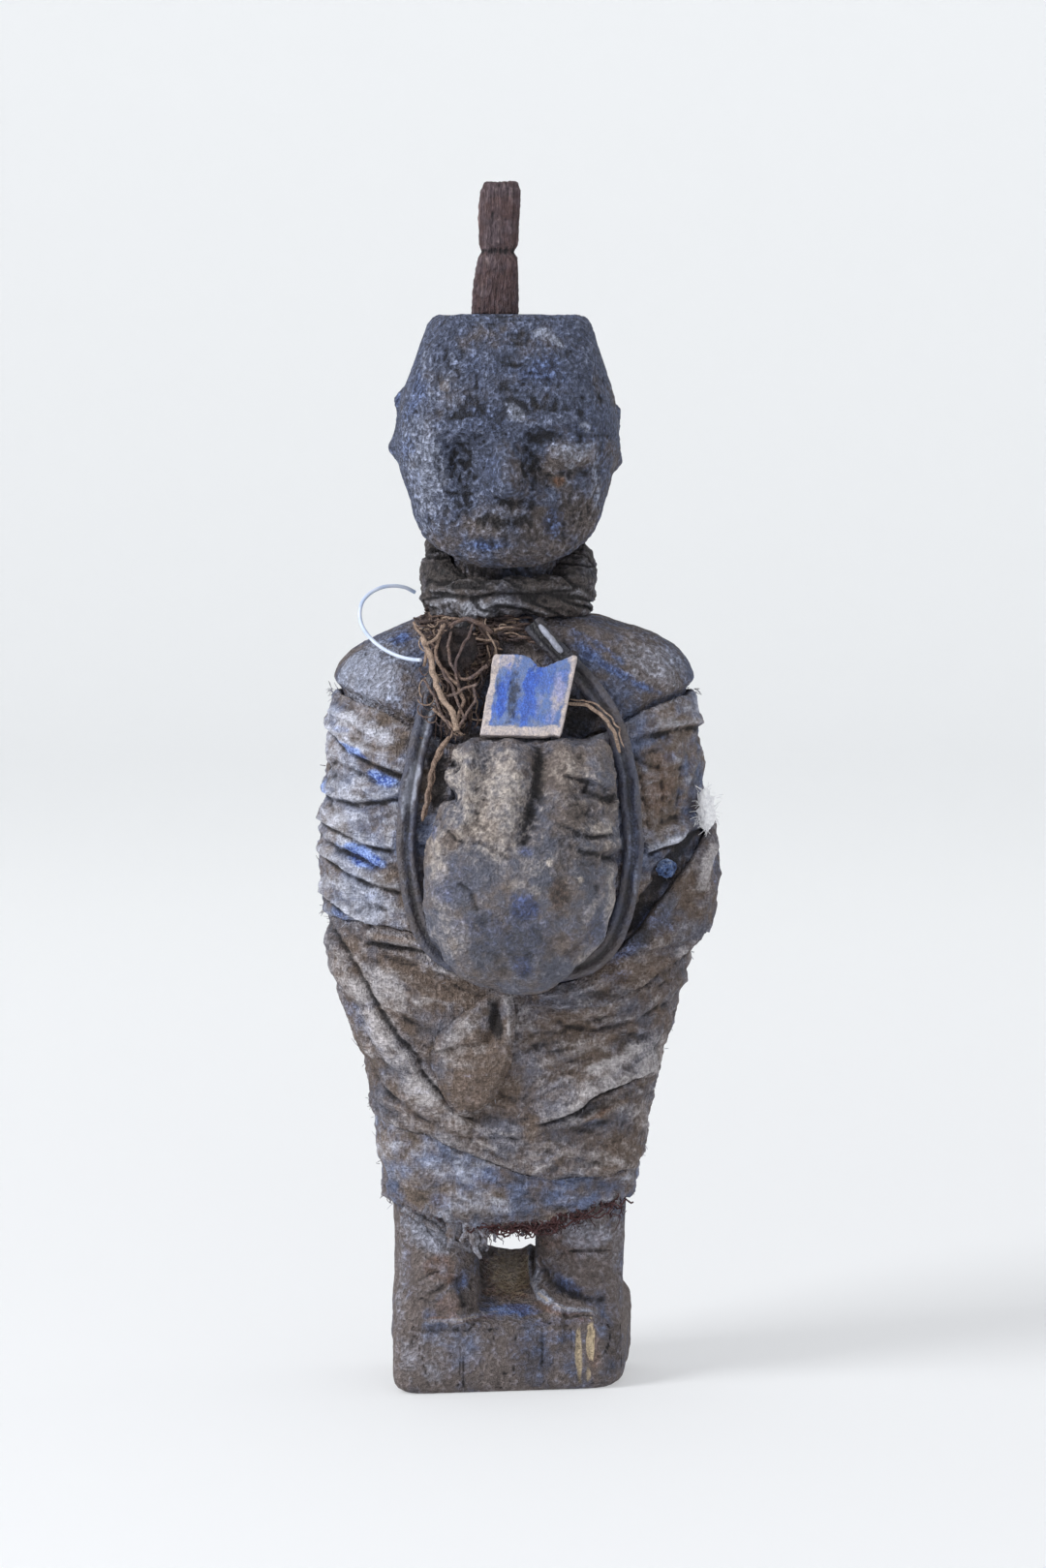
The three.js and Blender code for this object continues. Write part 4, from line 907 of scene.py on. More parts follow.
def figureRelief(p, n):
    x, z = p[:, 0], p[:, 2]
    facing = smoothStep(0.1, 0.5, -n[:, 1])
    head = smoothStep(257, 262, z)
    foot = 1 - smoothStep(58, 64, z)
    face = sum(rise * hump(x - a, wide) * hump(z - b, high) for rise, a, wide, b, high in faceForms)
    face -= 0.7 * hump(x - 14, 6) * hump(z - 289 - 0.08 * (x - 15), 2.0)  # the closed eye
    nose = hump(x - neck[0] + 1, 3.6) * smoothStep(281, 284, z) * (1 - smoothStep(294, 304, z))
    face += 2.2 * nose
    leftBreak, rightBreak = -27.2 - 0.16 * np.abs(z - 304), 21.6 - 0.08 * np.abs(z - 304)
    face += 0.6 * smoothStep(276, 290, z) * (hump(x - leftBreak, 2.2) + hump(x - rightBreak, 2.2))
    face -= 0.4 * smoothStep(276, 290, z) * (hump(x - leftBreak + 4, 3) + hump(x - rightBreak - 3.4, 2.6))
    lobes = smoothStep(0.4, 0.8, -n[:, 0]) * (0.7 * hump(z - 307, 4.4) + 1.6 * hump(z - 297.4, 4.6))
    lobes += smoothStep(0.4, 0.8, n[:, 0]) * (0.8 * hump(z - 304, 4) + 1.0 * hump(z - 294.6, 3.6))
    face = face * facing + lobes * hump(p[:, 1] - 2, 7)
    clods = crests(p, (5.2, 5.2, 5.2), 78)
    grit = cloud(p, 2.6, 3, 81, 0.7)
    fine = cloud(p, 1.9, 2, 84)
    crustDepth = figureLook["grit"] * (head * (0.75 + 0.25 * facing) + 0.5 * (1 - head) * (1 - 0.4 * foot))
    cracks = np.exp(-(cloud(p, (8, 8, 70), 2, 90) / 0.022) ** 2) * foot * (z < 22)
    pits = hump(x + 19.5, 5) * hump(z - 289, 11) * facing * smoothStep(-0.2, 0.4, -fine)
    legs = foldsAt(x, z, legFolds) * smoothStep(0.0, 0.5, -n[:, 1]) * foot
    brim = smoothStep(19, 21.6, z) * (1 - smoothStep(22, 24, z)) * facing
    chips = -0.4 * smoothStep(0.1, 0.6, cloud(p, (7, 7, 3), 2, 93)) * brim
    crust = crustDepth * (0.15 * clods + 0.3 * grit + 0.4 * fine)
    height = 0.45 * cloud(p, 12, 2, 87) + crust + face * head
    height += -0.3 * cracks - 0.7 * pits + legs + chips
    bare = spots(x, z, 0.25 * cloud(p, (1.2, 1.2, 7), 2, 96), bareWood) * facing
    return height - 0.5 * bare, grit, fine, cracks, facing, bare


figureMesh = carvedFigure()
figurePoints = pointsOf(figureMesh)
figureNormals = normalsOf(figureMesh)
height, grit, fine, cracks, facing, bare = figureRelief(figurePoints, figureNormals)
height[figurePoints[:, 2] < 1.2] = 0.0  # the underside stays flat
plainHollows = hollowness(figureMesh, 5)
setPoints(figureMesh, figurePoints + figureNormals * height[:, None])
figureX, figureZ = figurePoints[:, 0], figurePoints[:, 2]
figureRough = 0.4 * cloud(figurePoints, 4, 3, 94)
figureMarks = {mark: spots(figureX, figureZ, figureRough, rows) * facing
               for mark, rows in faceSpots.items()}
onHead = smoothStep(255, 262, figureZ)
bloom = (0.25 + 0.3 * onHead) * smoothStep(0.1, 0.8, cloud(figurePoints, 20, 2, 97)) * (1 - 0.4 * facing)
figureMarks["blue"] = np.maximum(figureMarks["blue"], bloom)
figureMarks["pale"] += 0.08 + np.clip(0.1 * grit + 0.15 * fine, -0.2, 0.3)
# Painted shade in the low grains of the crust; the cracks are darkened too
figureMarks["hollow"] = np.clip(-0.25 * grit - 0.25 * fine + 0.5 * cracks, 0, 1)
figureMarks["warm"] += 0.4 * (1 - smoothStep(40, 66, figureZ))
figureMarks["warm"] -= 0.5 * onHead * smoothStep(280, 300, figureZ - 0.6 * figureX)
figureMarks["crust"] = 0.5 + 0.25 * smoothStep(40, 70, figureZ) + 0.35 * onHead
figureMarks["bare"] = bare
place("carved_figure", figureMesh, woodFinish, ["figure"], figureMarks, (5, 0.35, 0.18),
    plainHollows)


# An inside piece stands for no node of its own
def aged(name, node, voxel, rounds, relief, finish, wear=(4, 0.25, 0.4), inside=False):
    mesh = remeshed(node, voxel, rounds)
    p, n = pointsOf(mesh), normalsOf(mesh)
    plain = hollowness(mesh, wear[0]) if wear else 0.0
    shape, marks = relief(p, n)
    setPoints(mesh, p + n * shape[:, None])
    return place(name, mesh, finish, [] if inside else [node], marks, wear, plain)


def pegRelief(p, n):
    fibres = cloud(p, (1.4, 1.4, 14), 3, 101)
    chips = cloud(p, (5, 5, 7), 2, 104)
    waist = -0.7 * hump(p[:, 2] - 357.5, 1.2)
    shape = 0.35 * fibres + 0.3 * chips + waist + 0.2 * cloud(p, 1.5, 2, 107)
    # Painted shade in the grooves between fibres and in the waist
    return shape, {"hollow": np.clip(-0.7 * fibres - waist, 0, 1),
                   "pale": np.clip(0.5 * fibres + 0.2 * chips, 0, 1)}


aged("crown_peg", "head_peg", 0.5, 3, pegRelief, pegFinish)


bandRadius = 22
# Painted highlights on the lower left front of the collar
bandHighlights = [(-15, 247, 8, 3, 6, 0.9), (-8, 249, 7, 2, 12, 0.5), (-24, 249, 4, 6, 0, 0.5),
    (14, 252, 8, 2, 0, 0.3)]


def bandRelief(p, n):
    a = np.arctan2(p[:, 1] - neck[1], p[:, 0] - neck[0])
    q = np.stack([np.cos(a) * bandRadius, np.sin(a) * bandRadius, p[:, 2] + 5 * np.sin(a + 0.6)], 1)
    folds = crests(q, (30, 30, 7.5), 111)
    creases = np.exp(-(cloud(q, (26, 26, 7), 2, 114) / 0.1) ** 2)
    grit = cloud(p, 2.4, 3, 117)
    lump = cloud(q, 9, 2, 118)
    shape = folds - 1.4 * creases + 0.55 * grit + 0.9 * lump + 0.25 * cloud(p, 1.6, 2, 120)
    highlighted = spots(p[:, 0], p[:, 2], 0.5 * cloud(p, 4, 3, 119), bandHighlights)
    # Painted shade: hollows in the creases, and a dark mark that is even all round plus stronger on the
    # upward faces, under the chin
    return shape, {"hollow": np.clip(0.7 * creases - 0.3 * folds, 0, 1),
                   "pale": np.clip(0.2 * folds + 0.15 * grit, 0, 0.4) + highlighted,
                   "dark": 0.3 + 0.35 * smoothStep(-0.2, 0.8, n[:, 2]), "warm": np.full(len(p), 0.35)}


aged("collar", "neck_band", 0.55, 8, bandRelief, collarFinish, (5, 0.35, 0.25))


# Pouch, tile and strap

pouchFolds = [
    ("ridge", 1.5, 1.7, 0, [(-15.4, 208.5), (-16.4, 200), (-17, 192), (-17.6, 184), (-20, 178)]),
    ("groove", 1.1, 2.0, 0, [(-11, 207), (-12, 196), (-13, 186), (-14, 180)]),
    ("groove", 2.3, 2.6, 0, [(6.6, 208), (5.4, 201), (4.1, 195.3), (3, 187.6), (0.7, 179.9), (-2, 176)]),
    ("ridge", 1.7, 3.6, 0, [(-3, 207), (-3.6, 198), (-4.6, 188), (-7, 178)]),
    ("ridge", 1.4, 3.4, 0, [(13, 206), (12.6, 198), (12, 188), (13, 178)]),
    ("lap", 1.6, 0.9, 7, [(12, 198.6), (15.4, 197.4), (21.1, 196), (27.5, 193)]),
    ("groove", 1.8, 1.4, 0, [(18, 194), (22, 191.6), (28.5, 189.4)]),
    ("lap", 1.3, 0.9, 6, [(10, 183.6), (15, 181.6), (19.9, 179.7), (27.8, 180.4)]),
    ("lap", 1.3, 0.8, 6, [(16, 176), (20, 175), (24.4, 174.6), (30, 175.4)]),
    ("groove", 1.6, 1.2, 0, [(24, 173.4), (28.4, 172), (31, 172.4)]),
    ("groove", 0.8, 1.1, 0, [(-20, 166), (-16, 162), (-14, 156)]),
    ("groove", 1.8, 2.0, 0, [(-30, 190.5), (-25.4, 191.6), (-21, 190)]),
    ("groove", 1.4, 2.0, 0, [(-27, 201), (-23.4, 201.4), (-20, 199)]),
    ("groove", 0.7, 1.0, 0, [(-26, 183), (-19, 178), (-11, 177), (-4, 172)]),
    ("ridge", 0.8, 2.4, 0, [(-24, 176), (-16, 172), (-10, 165)]),
    ("ridge", 0.9, 1.5, 0, [(25.4, 170), (26.6, 160), (24, 149), (17, 140.6), (8, 136)]),
    ("groove", 0.8, 1.4, 0, [(22.4, 166), (23, 158), (20.4, 149.6), (14, 143)]),
]
# The dark spots are painted shade in the grooves and on the right side, and make the lower part darker
# towards the bottom; the pale spots along the right rim and the small pale dots on the lower part are
# painted highlights and glints; the upper pale spots are cream crust.
pouchSpots = {
    "blue": [(0.8, 158, 6.5, 5, -35, 0.8), (-0.4, 140, 6, 4, -40, 0.7), (1, 175, 3.2, 2, -20, 0.6),
        (-24, 163, 5, 6, 0, 0.5), (-27.6, 180, 1.6, 4, 12, 0.6), (-16, 152, 9, 5, -10, 0.4),
        (8, 168, 3, 4, 0, 0.3), (16, 150, 6, 7, 0, 0.3), (-2, 150, 17, 12, 0, 0.4),
        (-20, 166, 8, 10, 0, 0.3), (22, 150, 6, 10, 0, 0.35)],
    "pale": [(-20, 198, 4.4, 12, 0, 0.6), (-8, 178, 4.4, 11, 10, 0.5), (-7, 194, 9, 14, 0, 0.6),
        (26.6, 160, 2, 13, -6, 0.5), (20, 143, 7, 2.2, 38, 0.45), (-26, 172, 3.6, 12, 8, 0.55),
        (-22, 150, 7, 8, 0, 0.35), (24, 181, 5, 4, 0, 0.5), (3, 170, 8, 4, 0, 0.3),
        (17.6, 166.6, 1.4, 1.2, 0, 1.0), (8, 171.6, 1.4, 1.6, 0, 0.8), (21, 157, 2, 8, -30, 0.4),
        (-10, 189, 16, 18, 0, 0.5), (14, 200, 9, 6, 0, 0.3), (-25, 158, 2.4, 12, 10, 0.35),
        (-2, 165, 4, 2, 0, 0.4), (4, 163, 3, 2, 0, 0.4)],
    "dark": [(5, 197, 2.6, 12, 8, 0.6), (11, 163, 5, 9, 0, 0.7), (20, 190, 7, 3, -10, 0.5),
        (-16, 167, 3, 3, 0, 0.3), (2, 186, 4, 5, 0, 0.4), (28, 190, 3, 4, 0, 0.6),
        (-2, 148, 17, 14, 0, 0.55), (-18, 163, 5, 4, 0, 0.3), (16, 178, 11, 22, 0, 0.5),
        (-14.6, 199, 1.4, 11, -4, 0.4), (0, 138, 16, 5, 0, 0.4)],
    "warm": [(11, 162, 5, 9, 0, 0.9), (14, 198, 10, 9, 0, 0.6), (13, 148, 8, 8, 0, 0.4),
        (-22, 178, 3, 6, -15, 0.6), (-12, 181, 8, 5, 0, 0.5), (12, 186, 8, 10, 0, 0.5),
        (-8, 195, 9, 9, 0, 0.3)],
}


def pouchRelief(p, n):
    x, z = p[:, 0], p[:, 2]
    facing = smoothStep(0.05, 0.4, -n[:, 1])
    front = foldsAt(x, z, pouchFolds)
    upper = smoothStep(165, 182, z)
    grit = cloud(p, 2.2, 3, 121, 0.6)
    pits = cloud(p, 1.4, 2, 124)
    leftSide, rightSide = smoothStep(0.2, 0.8, -n[:, 0]), smoothStep(0.2, 0.8, n[:, 0])
    side = -2.2 * hump(z - 192, 3) * leftSide - 1.8 * hump(z - 172.4, 2.2) * rightSide
    side = side - 1.3 * hump(z - 201, 2) * leftSide - 1.2 * hump(z - 191, 2.2) * rightSide
    shape = front * facing + side + 1.3 * cloud(p, 10, 2, 127) + 0.15 * crests(p, (6, 6, 6), 129)
    shape = shape + (0.1 + 0.2 * upper) * grit
    shape = shape + (0.05 + 0.12 * upper) * pits
    rough = 0.3 * cloud(p, 3.4, 3, 130)
    marks = {key: spots(x, z, rough, rows) * facing for key, rows in pouchSpots.items()}
    marks["pale"] = marks["pale"] + np.clip((0.2 + 0.15 * upper) * grit, -0.3, 0.4) + 0.08
    # Painted shade in the low parts of the folds, grit and pits
    marks["hollow"] = np.clip(-0.2 * front * facing - (0.1 + 0.3 * upper) * (grit + pits) * 0.8, 0, 1)
    return shape, marks


pouch = aged("stuffed_pouch", "medicine_pouch", 0.6, 8, pouchRelief, pouchFinish,
    (5, 0.4, 0.22))


tileSpots = {
    "blue": [(-6.6, 221, 2.2, 9, -9, 1.2), (2.7, 225.4, 3.2, 6, -8, 1.4), (0.8, 217, 4.2, 7, -8, 0.9),
        (-9.4, 216, 1.8, 6, -10, 0.7), (7, 226, 4, 7, 0, 0.7), (12, 226, 2.4, 7, -10, 0.6),
        (9, 215, 3, 5, 0, 0.5), (6, 214.6, 4, 2, 0, 0.5), (-3, 228, 3, 2, 0, 0.4)],
    "pale": [(10.6, 221, 2.6, 9, -12, 0.8), (-5.4, 231.6, 4, 3, 0, 0.8), (14.6, 231.6, 1.6, 2, 0, 0.8),
        (5, 219, 1.2, 4, -16, 0.35)],
    "dark": [(-3.0, 221, 1.9, 8, -8, 0.95), (-7.8, 224, 1.2, 5, -8, 0.6), (3, 229.4, 2.4, 1.2, 0, 0.5),
        (-2, 214.6, 3, 1.2, 0, 0.5)],
}


def shardRelief(p, n):
    x, z = p[:, 0], p[:, 2]
    left = -13.2 + (z - 208.4) * 0.19
    right = 11.6 + (z - 208.4) * 0.2
    rough = 0.8 * cloud(p, 3, 3, 141)
    rim = np.minimum(np.minimum(np.minimum(x - left - 1.6, z - 212.2), right - x - 1.2), 40) + 0.8 * rough
    front = smoothStep(0.3, 0.7, -n[:, 1])
    glazed = smoothStep(-0.2, 0.5, rim) * front
    chips = cloud(p, 1.8, 3, 144)
    nick = -0.8 * (hump(x + 12, 2) * hump(z - 226, 3) + hump(x - 9, 1.6) * hump(z - 209, 2))
    rough = 0.8 * cloud(np.stack([x - 0.2 * z, p[:, 1], z], 1), (2.0, 2.0, 5), 4, 147, 0.65)
    shape = 0.12 * chips + nick + 0.16 * glazed
    marks = {key: spots(x, z, rough, rows) * glazed for key, rows in tileSpots.items()}
    marks["pale"] = np.maximum(marks["pale"], 1 - glazed)
    marks["warm"] = 0.6 * (1 - glazed) * smoothStep(-0.2, 0.6, chips)
    return shape, marks


aged("tile_shard", "blue_shard", 0.36, 2, shardRelief, glazeFinish)

# Along the strap: across, up, and how far it lies in front of the body
strapRoute = [(-17, 242.6, 6.2), (-22, 236, 4.2), (-25.6, 229.4, 3.2), (-29.9, 214.5, 2.9),
    (-33.4, 199.6, 2.9), (-35.6, 186, 2.9), (-35.9, 172, 2.9), (-33.8, 157, 2.9), (-29.9, 146, 2.9),
    (-22, 138.6, 2.9), (-8, 134.6, 2.9), (6, 134.4, 2.9), (18, 136.6, 2.9), (26, 142.6, 2.9),
    (31, 153, 2.9), (33.6, 166.6, 2.9), (33.8, 181.6, 2.9), (31.6, 199.6, 2.9), (26.9, 214.5, 3.0),
    (18, 226.5, 3.6), (8, 236.6, 5.0), (3, 242.6, 6.2)]
# Half width and half thickness, and the depth of the groove between its two runs
strapLook = {"rows": 300, "sides": 30, "wide": 3.1, "thick": 1.9, "groove": 1.5}
# Painted highlights along the strap, strongest on its lit left run
strapHighlights = [(-34.4, 193, 2.2, 9, -12, 2.0), (-29, 214, 1.4, 10, -18, 0.8),
    (-27.5, 224, 2, 8, -20, 0.6), (33.5, 176, 1.4, 14, 0, 0.45), (-36, 172, 1.2, 14, 0, 0.4),
    (30, 204, 1.2, 12, 14, 0.4), (34.6, 170, 0.9, 16, 0, 0.6)]
strapBlue = [(-35.6, 172, 1.6, 14, 0, 0.35), (34, 176, 2, 22, 0, 0.4)]


def frontAt(x, z, skin):
    hit = skin.ray_cast(Vector((x * mm, -0.3, z * mm)), Vector((0, 1, 0)))
    return hit[0].y / mm if hit[0] is not None else 0.0


def strapMesh():
    rows, sides = strapLook["rows"], strapLook["sides"]
    corners = np.array([(x, frontAt(x, z, bodySkin) - off, z) for x, z, off in strapRoute])
    path = smoothLine(corners, 14)
    steps = np.linalg.norm(np.diff(path, axis=0), axis=1)
    runs = np.concatenate([[0], np.cumsum(steps)])
    even = np.linspace(0, runs[-1], rows)
    path = np.stack([np.interp(even, runs, path[:, k]) for k in range(3)], 1)
    tangent = np.gradient(path, axis=0)
    tangent /= np.linalg.norm(tangent, axis=1)[:, None]
    across = np.cross(tangent, [0.0, -1.0, 0.0])
    across /= np.linalg.norm(across, axis=1)[:, None]
    out = np.cross(across, tangent)
    turnRound = np.linspace(0, 2 * math.pi, sides, endpoint=False)
    cosine, sine = np.cos(turnRound), np.sin(turnRound)
    u = strapLook["wide"] * np.sign(cosine) * np.abs(cosine) ** 0.8
    v = strapLook["thick"] * np.sign(sine) * np.abs(sine) ** 0.7
    groove = strapLook["groove"] * hump(u + 0.2, 0.85) * (sine > 0.2)
    rim = path[:, None, :] + across[:, None, :] * u[None, :, None]
    rim = rim + out[:, None, :] * (v - groove)[None, :, None]
    flatRim = rim.reshape(-1, 3)
    wear = cloud(flatRim, (2.2, 2.2, 9), 3, 151)
    push = (out[:, None, :] * (sine > 0)[None, :, None]).reshape(-1, 3)
    sideways = 0.35 * cloud(flatRim, 9, 2, 154)[:, None] * np.repeat(across, sides, 0)
    flatRim = flatRim + push * (0.45 * wear)[:, None] + sideways
    points = np.vstack([flatRim, path[:1], path[-1:]])
    caps = endFans(0, (rows - 1) * sides, sides, rows * sides)
    mesh = newMesh("strap", points, [gridFaces(rows, sides, wrapColumns=True), caps])
    x, z = points[:, 0], points[:, 2]
    light = spots(x, z, 0.3 * cloud(points, 3, 2, 157), strapHighlights)
    ringHollow = np.concatenate([np.tile(groove, rows), [0, 0]])
    # Painted shade in the groove between the two runs
    marks = {"pale": light + 0.3 * np.concatenate([wear, [0, 0]]).clip(0, 1),
             "hollow": np.clip(0.8 * ringHollow, 0, 1), "dark": 0.1 + 0.7 * smoothStep(222, 230, z),
             "blue": spots(x, z, 0.0, strapBlue)}
    return mesh, marks


strapShape, strapMarks = strapMesh()
place("hide_strap", strapShape, hideFinish, ["chest_strap"], strapMarks)
print("pouch group made")


# Knot of fibre, roots, sinew and twig

random = np.random.default_rng(7)


def wavy(route, count, wobble, seed):  # smooth route with small bends in it
    path = smoothLine(route, count)
    share = np.linspace(0, 1, len(path))
    away = np.sin(share * math.pi)[:, None] ** 0.5
    return path + drift(path, 4.5, 2, seed) * wobble * away


def frontLine(path, off):  # the path laid in front of the body and shoulders
    y = [frontAt(x, z, bodySkin) for x, _, z in path]
    y = np.convolve(np.pad(y, 2, "edge"), np.full(5, 0.2), "valid")
    return np.stack([path[:, 0], y - off, path[:, 2]], 1)


def curled(path, size, turns, start, share):  # a coil drawn along the path
    around = start + 2 * math.pi * turns * share
    swell = size * np.sin(share * math.pi) ** 0.6
    coil = [np.cos(around) * swell, np.sin(around) * swell * 0.7, np.sin(around * 0.7) * swell * 0.4]
    return path + np.stack(coil, 1)


# Counts of fibres, and the share of each tone among them from dark to pale
knotLook = {"falling": 210, "collar": 130, "loops": 60, "tones": [0.0, 0.1, 0.3, 0.6, 1.0],
            "fallingTones": [0.34, 0.26, 0.18, 0.14, 0.08], "collarTones": [0.3, 0.26, 0.2, 0.14, 0.1]}
knotPaths = []
for k in range(knotLook["falling"]):
    share = np.linspace(0, 1, 22)
    fromX, toX = random.uniform(-31, -10), random.normal(-20.5, 3.0)
    low = random.uniform(207, 226)
    x = fromX + (toX - fromX) * share ** 0.8 + random.normal(0, 1.6) * np.sin(share * math.pi)
    z = 245 + (low - 245) * share
    hollowX, hollowZ = x + 14.6, z - 234  # a dark hollow is left open above the tile
    keepOut = 5.2 * np.exp(-(hollowX / 5.5) ** 2 - (hollowZ / 6) ** 2)
    x = x - keepOut * np.where(hollowX > -1, -1, 1)
    path = frontLine(np.stack([x, x * 0, z], 1), random.uniform(1.0, 6.0))
    path = curled(path, random.uniform(0.3, 2.2), random.uniform(0.8, 3.6), random.uniform(0, 6.3), share)
    width = random.uniform(0.12, 0.36) * (1 - 0.6 * (2 * share - 1) ** 4)
    knotPaths.append((path, width, width, random.choice(knotLook["tones"], p=knotLook["fallingTones"])))
for k in range(knotLook["collar"]):
    share = np.linspace(0, 1, 16)
    fromX = random.uniform(-34, -4)
    x = fromX + random.uniform(2, 11) * share
    z = random.uniform(237.5, 246) + random.normal(0, 1.6) * share
    z = z + 2.2 * np.sin(share * math.pi) * random.uniform(-0.6, 1)
    path = frontLine(np.stack([x, x * 0, z], 1), random.uniform(1.2, 5.0))
    path = curled(path, random.uniform(0.4, 2.0), random.uniform(0.8, 3.0), random.uniform(0, 6.3), share)
    width = random.uniform(0.16, 0.5) * (1 - 0.6 * (2 * share - 1) ** 4)
    knotPaths.append((path, width, width, random.choice(knotLook["tones"], p=knotLook["collarTones"])))
for k in range(knotLook["loops"]):
    middleX, middleZ = random.uniform(-31, -13), random.uniform(210, 243)
    around = np.linspace(0, random.uniform(3, 6), 14) + random.uniform(0, 6.3)
    wideLoop, highLoop = random.uniform(1.2, 3.4), random.uniform(1.2, 3.4)
    x = middleX + wideLoop * np.cos(around)
    z = middleZ + highLoop * np.sin(around)
    path = frontLine(np.stack([x, x * 0, z], 1), random.uniform(3.0, 7.0))
    path = path + np.outer(np.cos(around * 0.5), [0, 1.2, 0])
    knotPaths.append((path, 0.22, 0.22, random.choice(knotLook["tones"])))
bigRoots = [  # route, half width, tone
    ([(-31, -33.2, 238.8), (-29, -35.4, 234.5), (-27.9, -37, 230.6), (-27.2, -38, 226.1),
        (-25, -39, 220.4), (-21.1, -40.6, 215.2), (-20.4, -41.6, 210.6)], 0.95, 1.0),
    ([(-24.6, -35.2, 242.8), (-26.6, -36.6, 234.4), (-23.9, -38, 227.6), (-20.4, -38.8, 224.4),
        (-18.3, -39.6, 220.2), (-19.7, -40.6, 215.8), (-20.6, -41.6, 211)], 0.6, 0.5),
    ([(-22.6, -34.6, 242.1), (-18.6, -36.4, 244.2), (-13.8, -36.8, 243.6), (-9.6, -35.6, 240.4)],
        0.7, 0.2),
    ([(-21.4, -35.4, 243.1), (-22.6, -37.4, 237), (-21.8, -38, 230.7), (-18, -38.6, 226.2),
        (-11, -39.2, 230.6)], 0.5, 0.3),
    ([(-24.4, -38, 221), (-19, -39.8, 222.6), (-14, -40.4, 225)], 0.45, 0.4),
    ([(-20.2, -41.4, 210.6), (-16.8, -41.4, 216.3), (-14.6, -41, 220), (-15.4, -40, 224.2)], 0.45, 0.3),
    ([(-33.6, -31.6, 243.5), (-31.6, -33.4, 239.6), (-29.6, -35, 235.6), (-30.4, -35.6, 230)], 0.5, 0.7),
    ([(-26, -37, 231), (-22, -39.4, 224), (-17.6, -41.4, 214)], 0.45, 0.3),
    ([(-27.6, -37, 217), (-23, -40, 213), (-18.6, -41.8, 209.4)], 0.5, 0.6),
    ([(-24, -35.6, 243), (-27.4, -36.8, 238), (-30.6, -35.4, 236.6)], 0.5, 0.7),
    ([(-15.4, -37, 243), (-17.6, -38, 237), (-21, -38.4, 231), (-19.6, -39.4, 224)], 0.45, 0.2),
    ([(-30.6, -34.4, 226), (-27, -38.2, 221), (-24.6, -39.4, 215), (-22, -41, 211)], 0.45, 0.3),
]
for k, (route, width, pale) in enumerate(bigRoots):
    path = wavy(route, 7, 0.7, 160 + k)
    grown = width * (1 + 0.2 * cloud(path, 2.5, 2, 170 + k))
    knotPaths.append((path, grown, grown, pale))
knotPoints, knotFaces, knotTone = tubes(knotPaths, 7)
knotGrit = cloud(knotPoints, 1.2, 2, 181)
# Painted shade in the low parts of the fibres
knotMarks = {"pale": knotTone, "dark": 0.6 * (knotTone < 0.2), "warm": 0.6 * (knotTone > 0.4),
    "hollow": np.clip(-knotGrit * 0.5, 0, 1)}
place("root_knot", newMesh("root_knot", knotPoints, knotFaces), fibreFinish, ["fibre_knot"],
    knotMarks)


def coreRelief(p, n):
    lump = cloud(p, 3.0, 3, 184)
    # The core is painted fully dark, as the shade inside the tangle
    return -1.6 + 1.1 * lump, {"dark": np.full(len(p), 1.0), "hollow": np.clip(-lump, 0, 1)}


aged("knot_core", "fibre_knot", 0.6, 2, coreRelief, fibreFinish, None, True)

smallStrands = [  # piece, node, route, half width, wobble, tone
    ("thin_root", "root_strand", [(-22.6, -40.6, 208.8), (-25.6, -40.2, 204.4), (-27.8, -39.6, 198),
        (-29.4, -38.4, 190), (-31, -37.6, 182.4)], 0.75, 0.8, 0.6),
    ("sinew", "tendon", [(13.4, -35.4, 218.6), (19, -36.6, 218.2), (24.4, -37.4, 215),
        (28, -38.2, 209.6), (29.8, -38.6, 203.6)], 0.6, 0.5, 0.9),
    ("broken_twig", "twig", [(5.0, -33.2, 242.6), (8.4, -34, 238.4), (12.0, -34.6, 234.2)],
        0.95, 0.5, 1.1),
]
for k, (name, node, route, width, wobble, pale) in enumerate(smallStrands):
    path = wavy(route, 9, wobble, 190 + k)
    taper = 1 - 0.5 * np.linspace(-1, 1, len(path)) ** 8
    grown = width * (1 + 0.15 * cloud(path, 2.2, 2, 200 + k)) * taper
    strands = [(path, grown, grown, pale)]
    if name != "broken_twig":  # a thinner fibre runs beside each root
        beside = path + np.array([1.1, -0.2, 1.3]) + 0.8 * drift(path, 5, 2, 205)
        strands.append((beside, grown * 0.45, grown * 0.45, pale * 0.8))
    strandPoints, strandFaces, strandTone = tubes(strands, 10)
    strandMarks = {"pale": strandTone + 0.3 * cloud(strandPoints, 1.5, 2, 210),
                   "warm": np.full(len(strandTone), 0.5)}
    finish = hideFinish if name == "broken_twig" else fibreFinish
    place(name, newMesh(name, strandPoints, strandFaces), finish, [node], strandMarks)
print("knot made")


# Sling round the right elbow

# Turn, low edge and high edge
slingRows = [(11, 124.6, 129.8), (22, 124, 130.6), (34, 123.6, 132.4), (45, 124.4, 137.6),
    (56, 129.5, 149), (67, 137, 163.5), (79, 147, 174), (90, 154.5, 179), (101, 160, 182),
    (112, 165, 182), (124, 171, 181)]
slingLook = {"rows": 46, "lift": 0.9, "full": 3.0, "flare": 3.6}


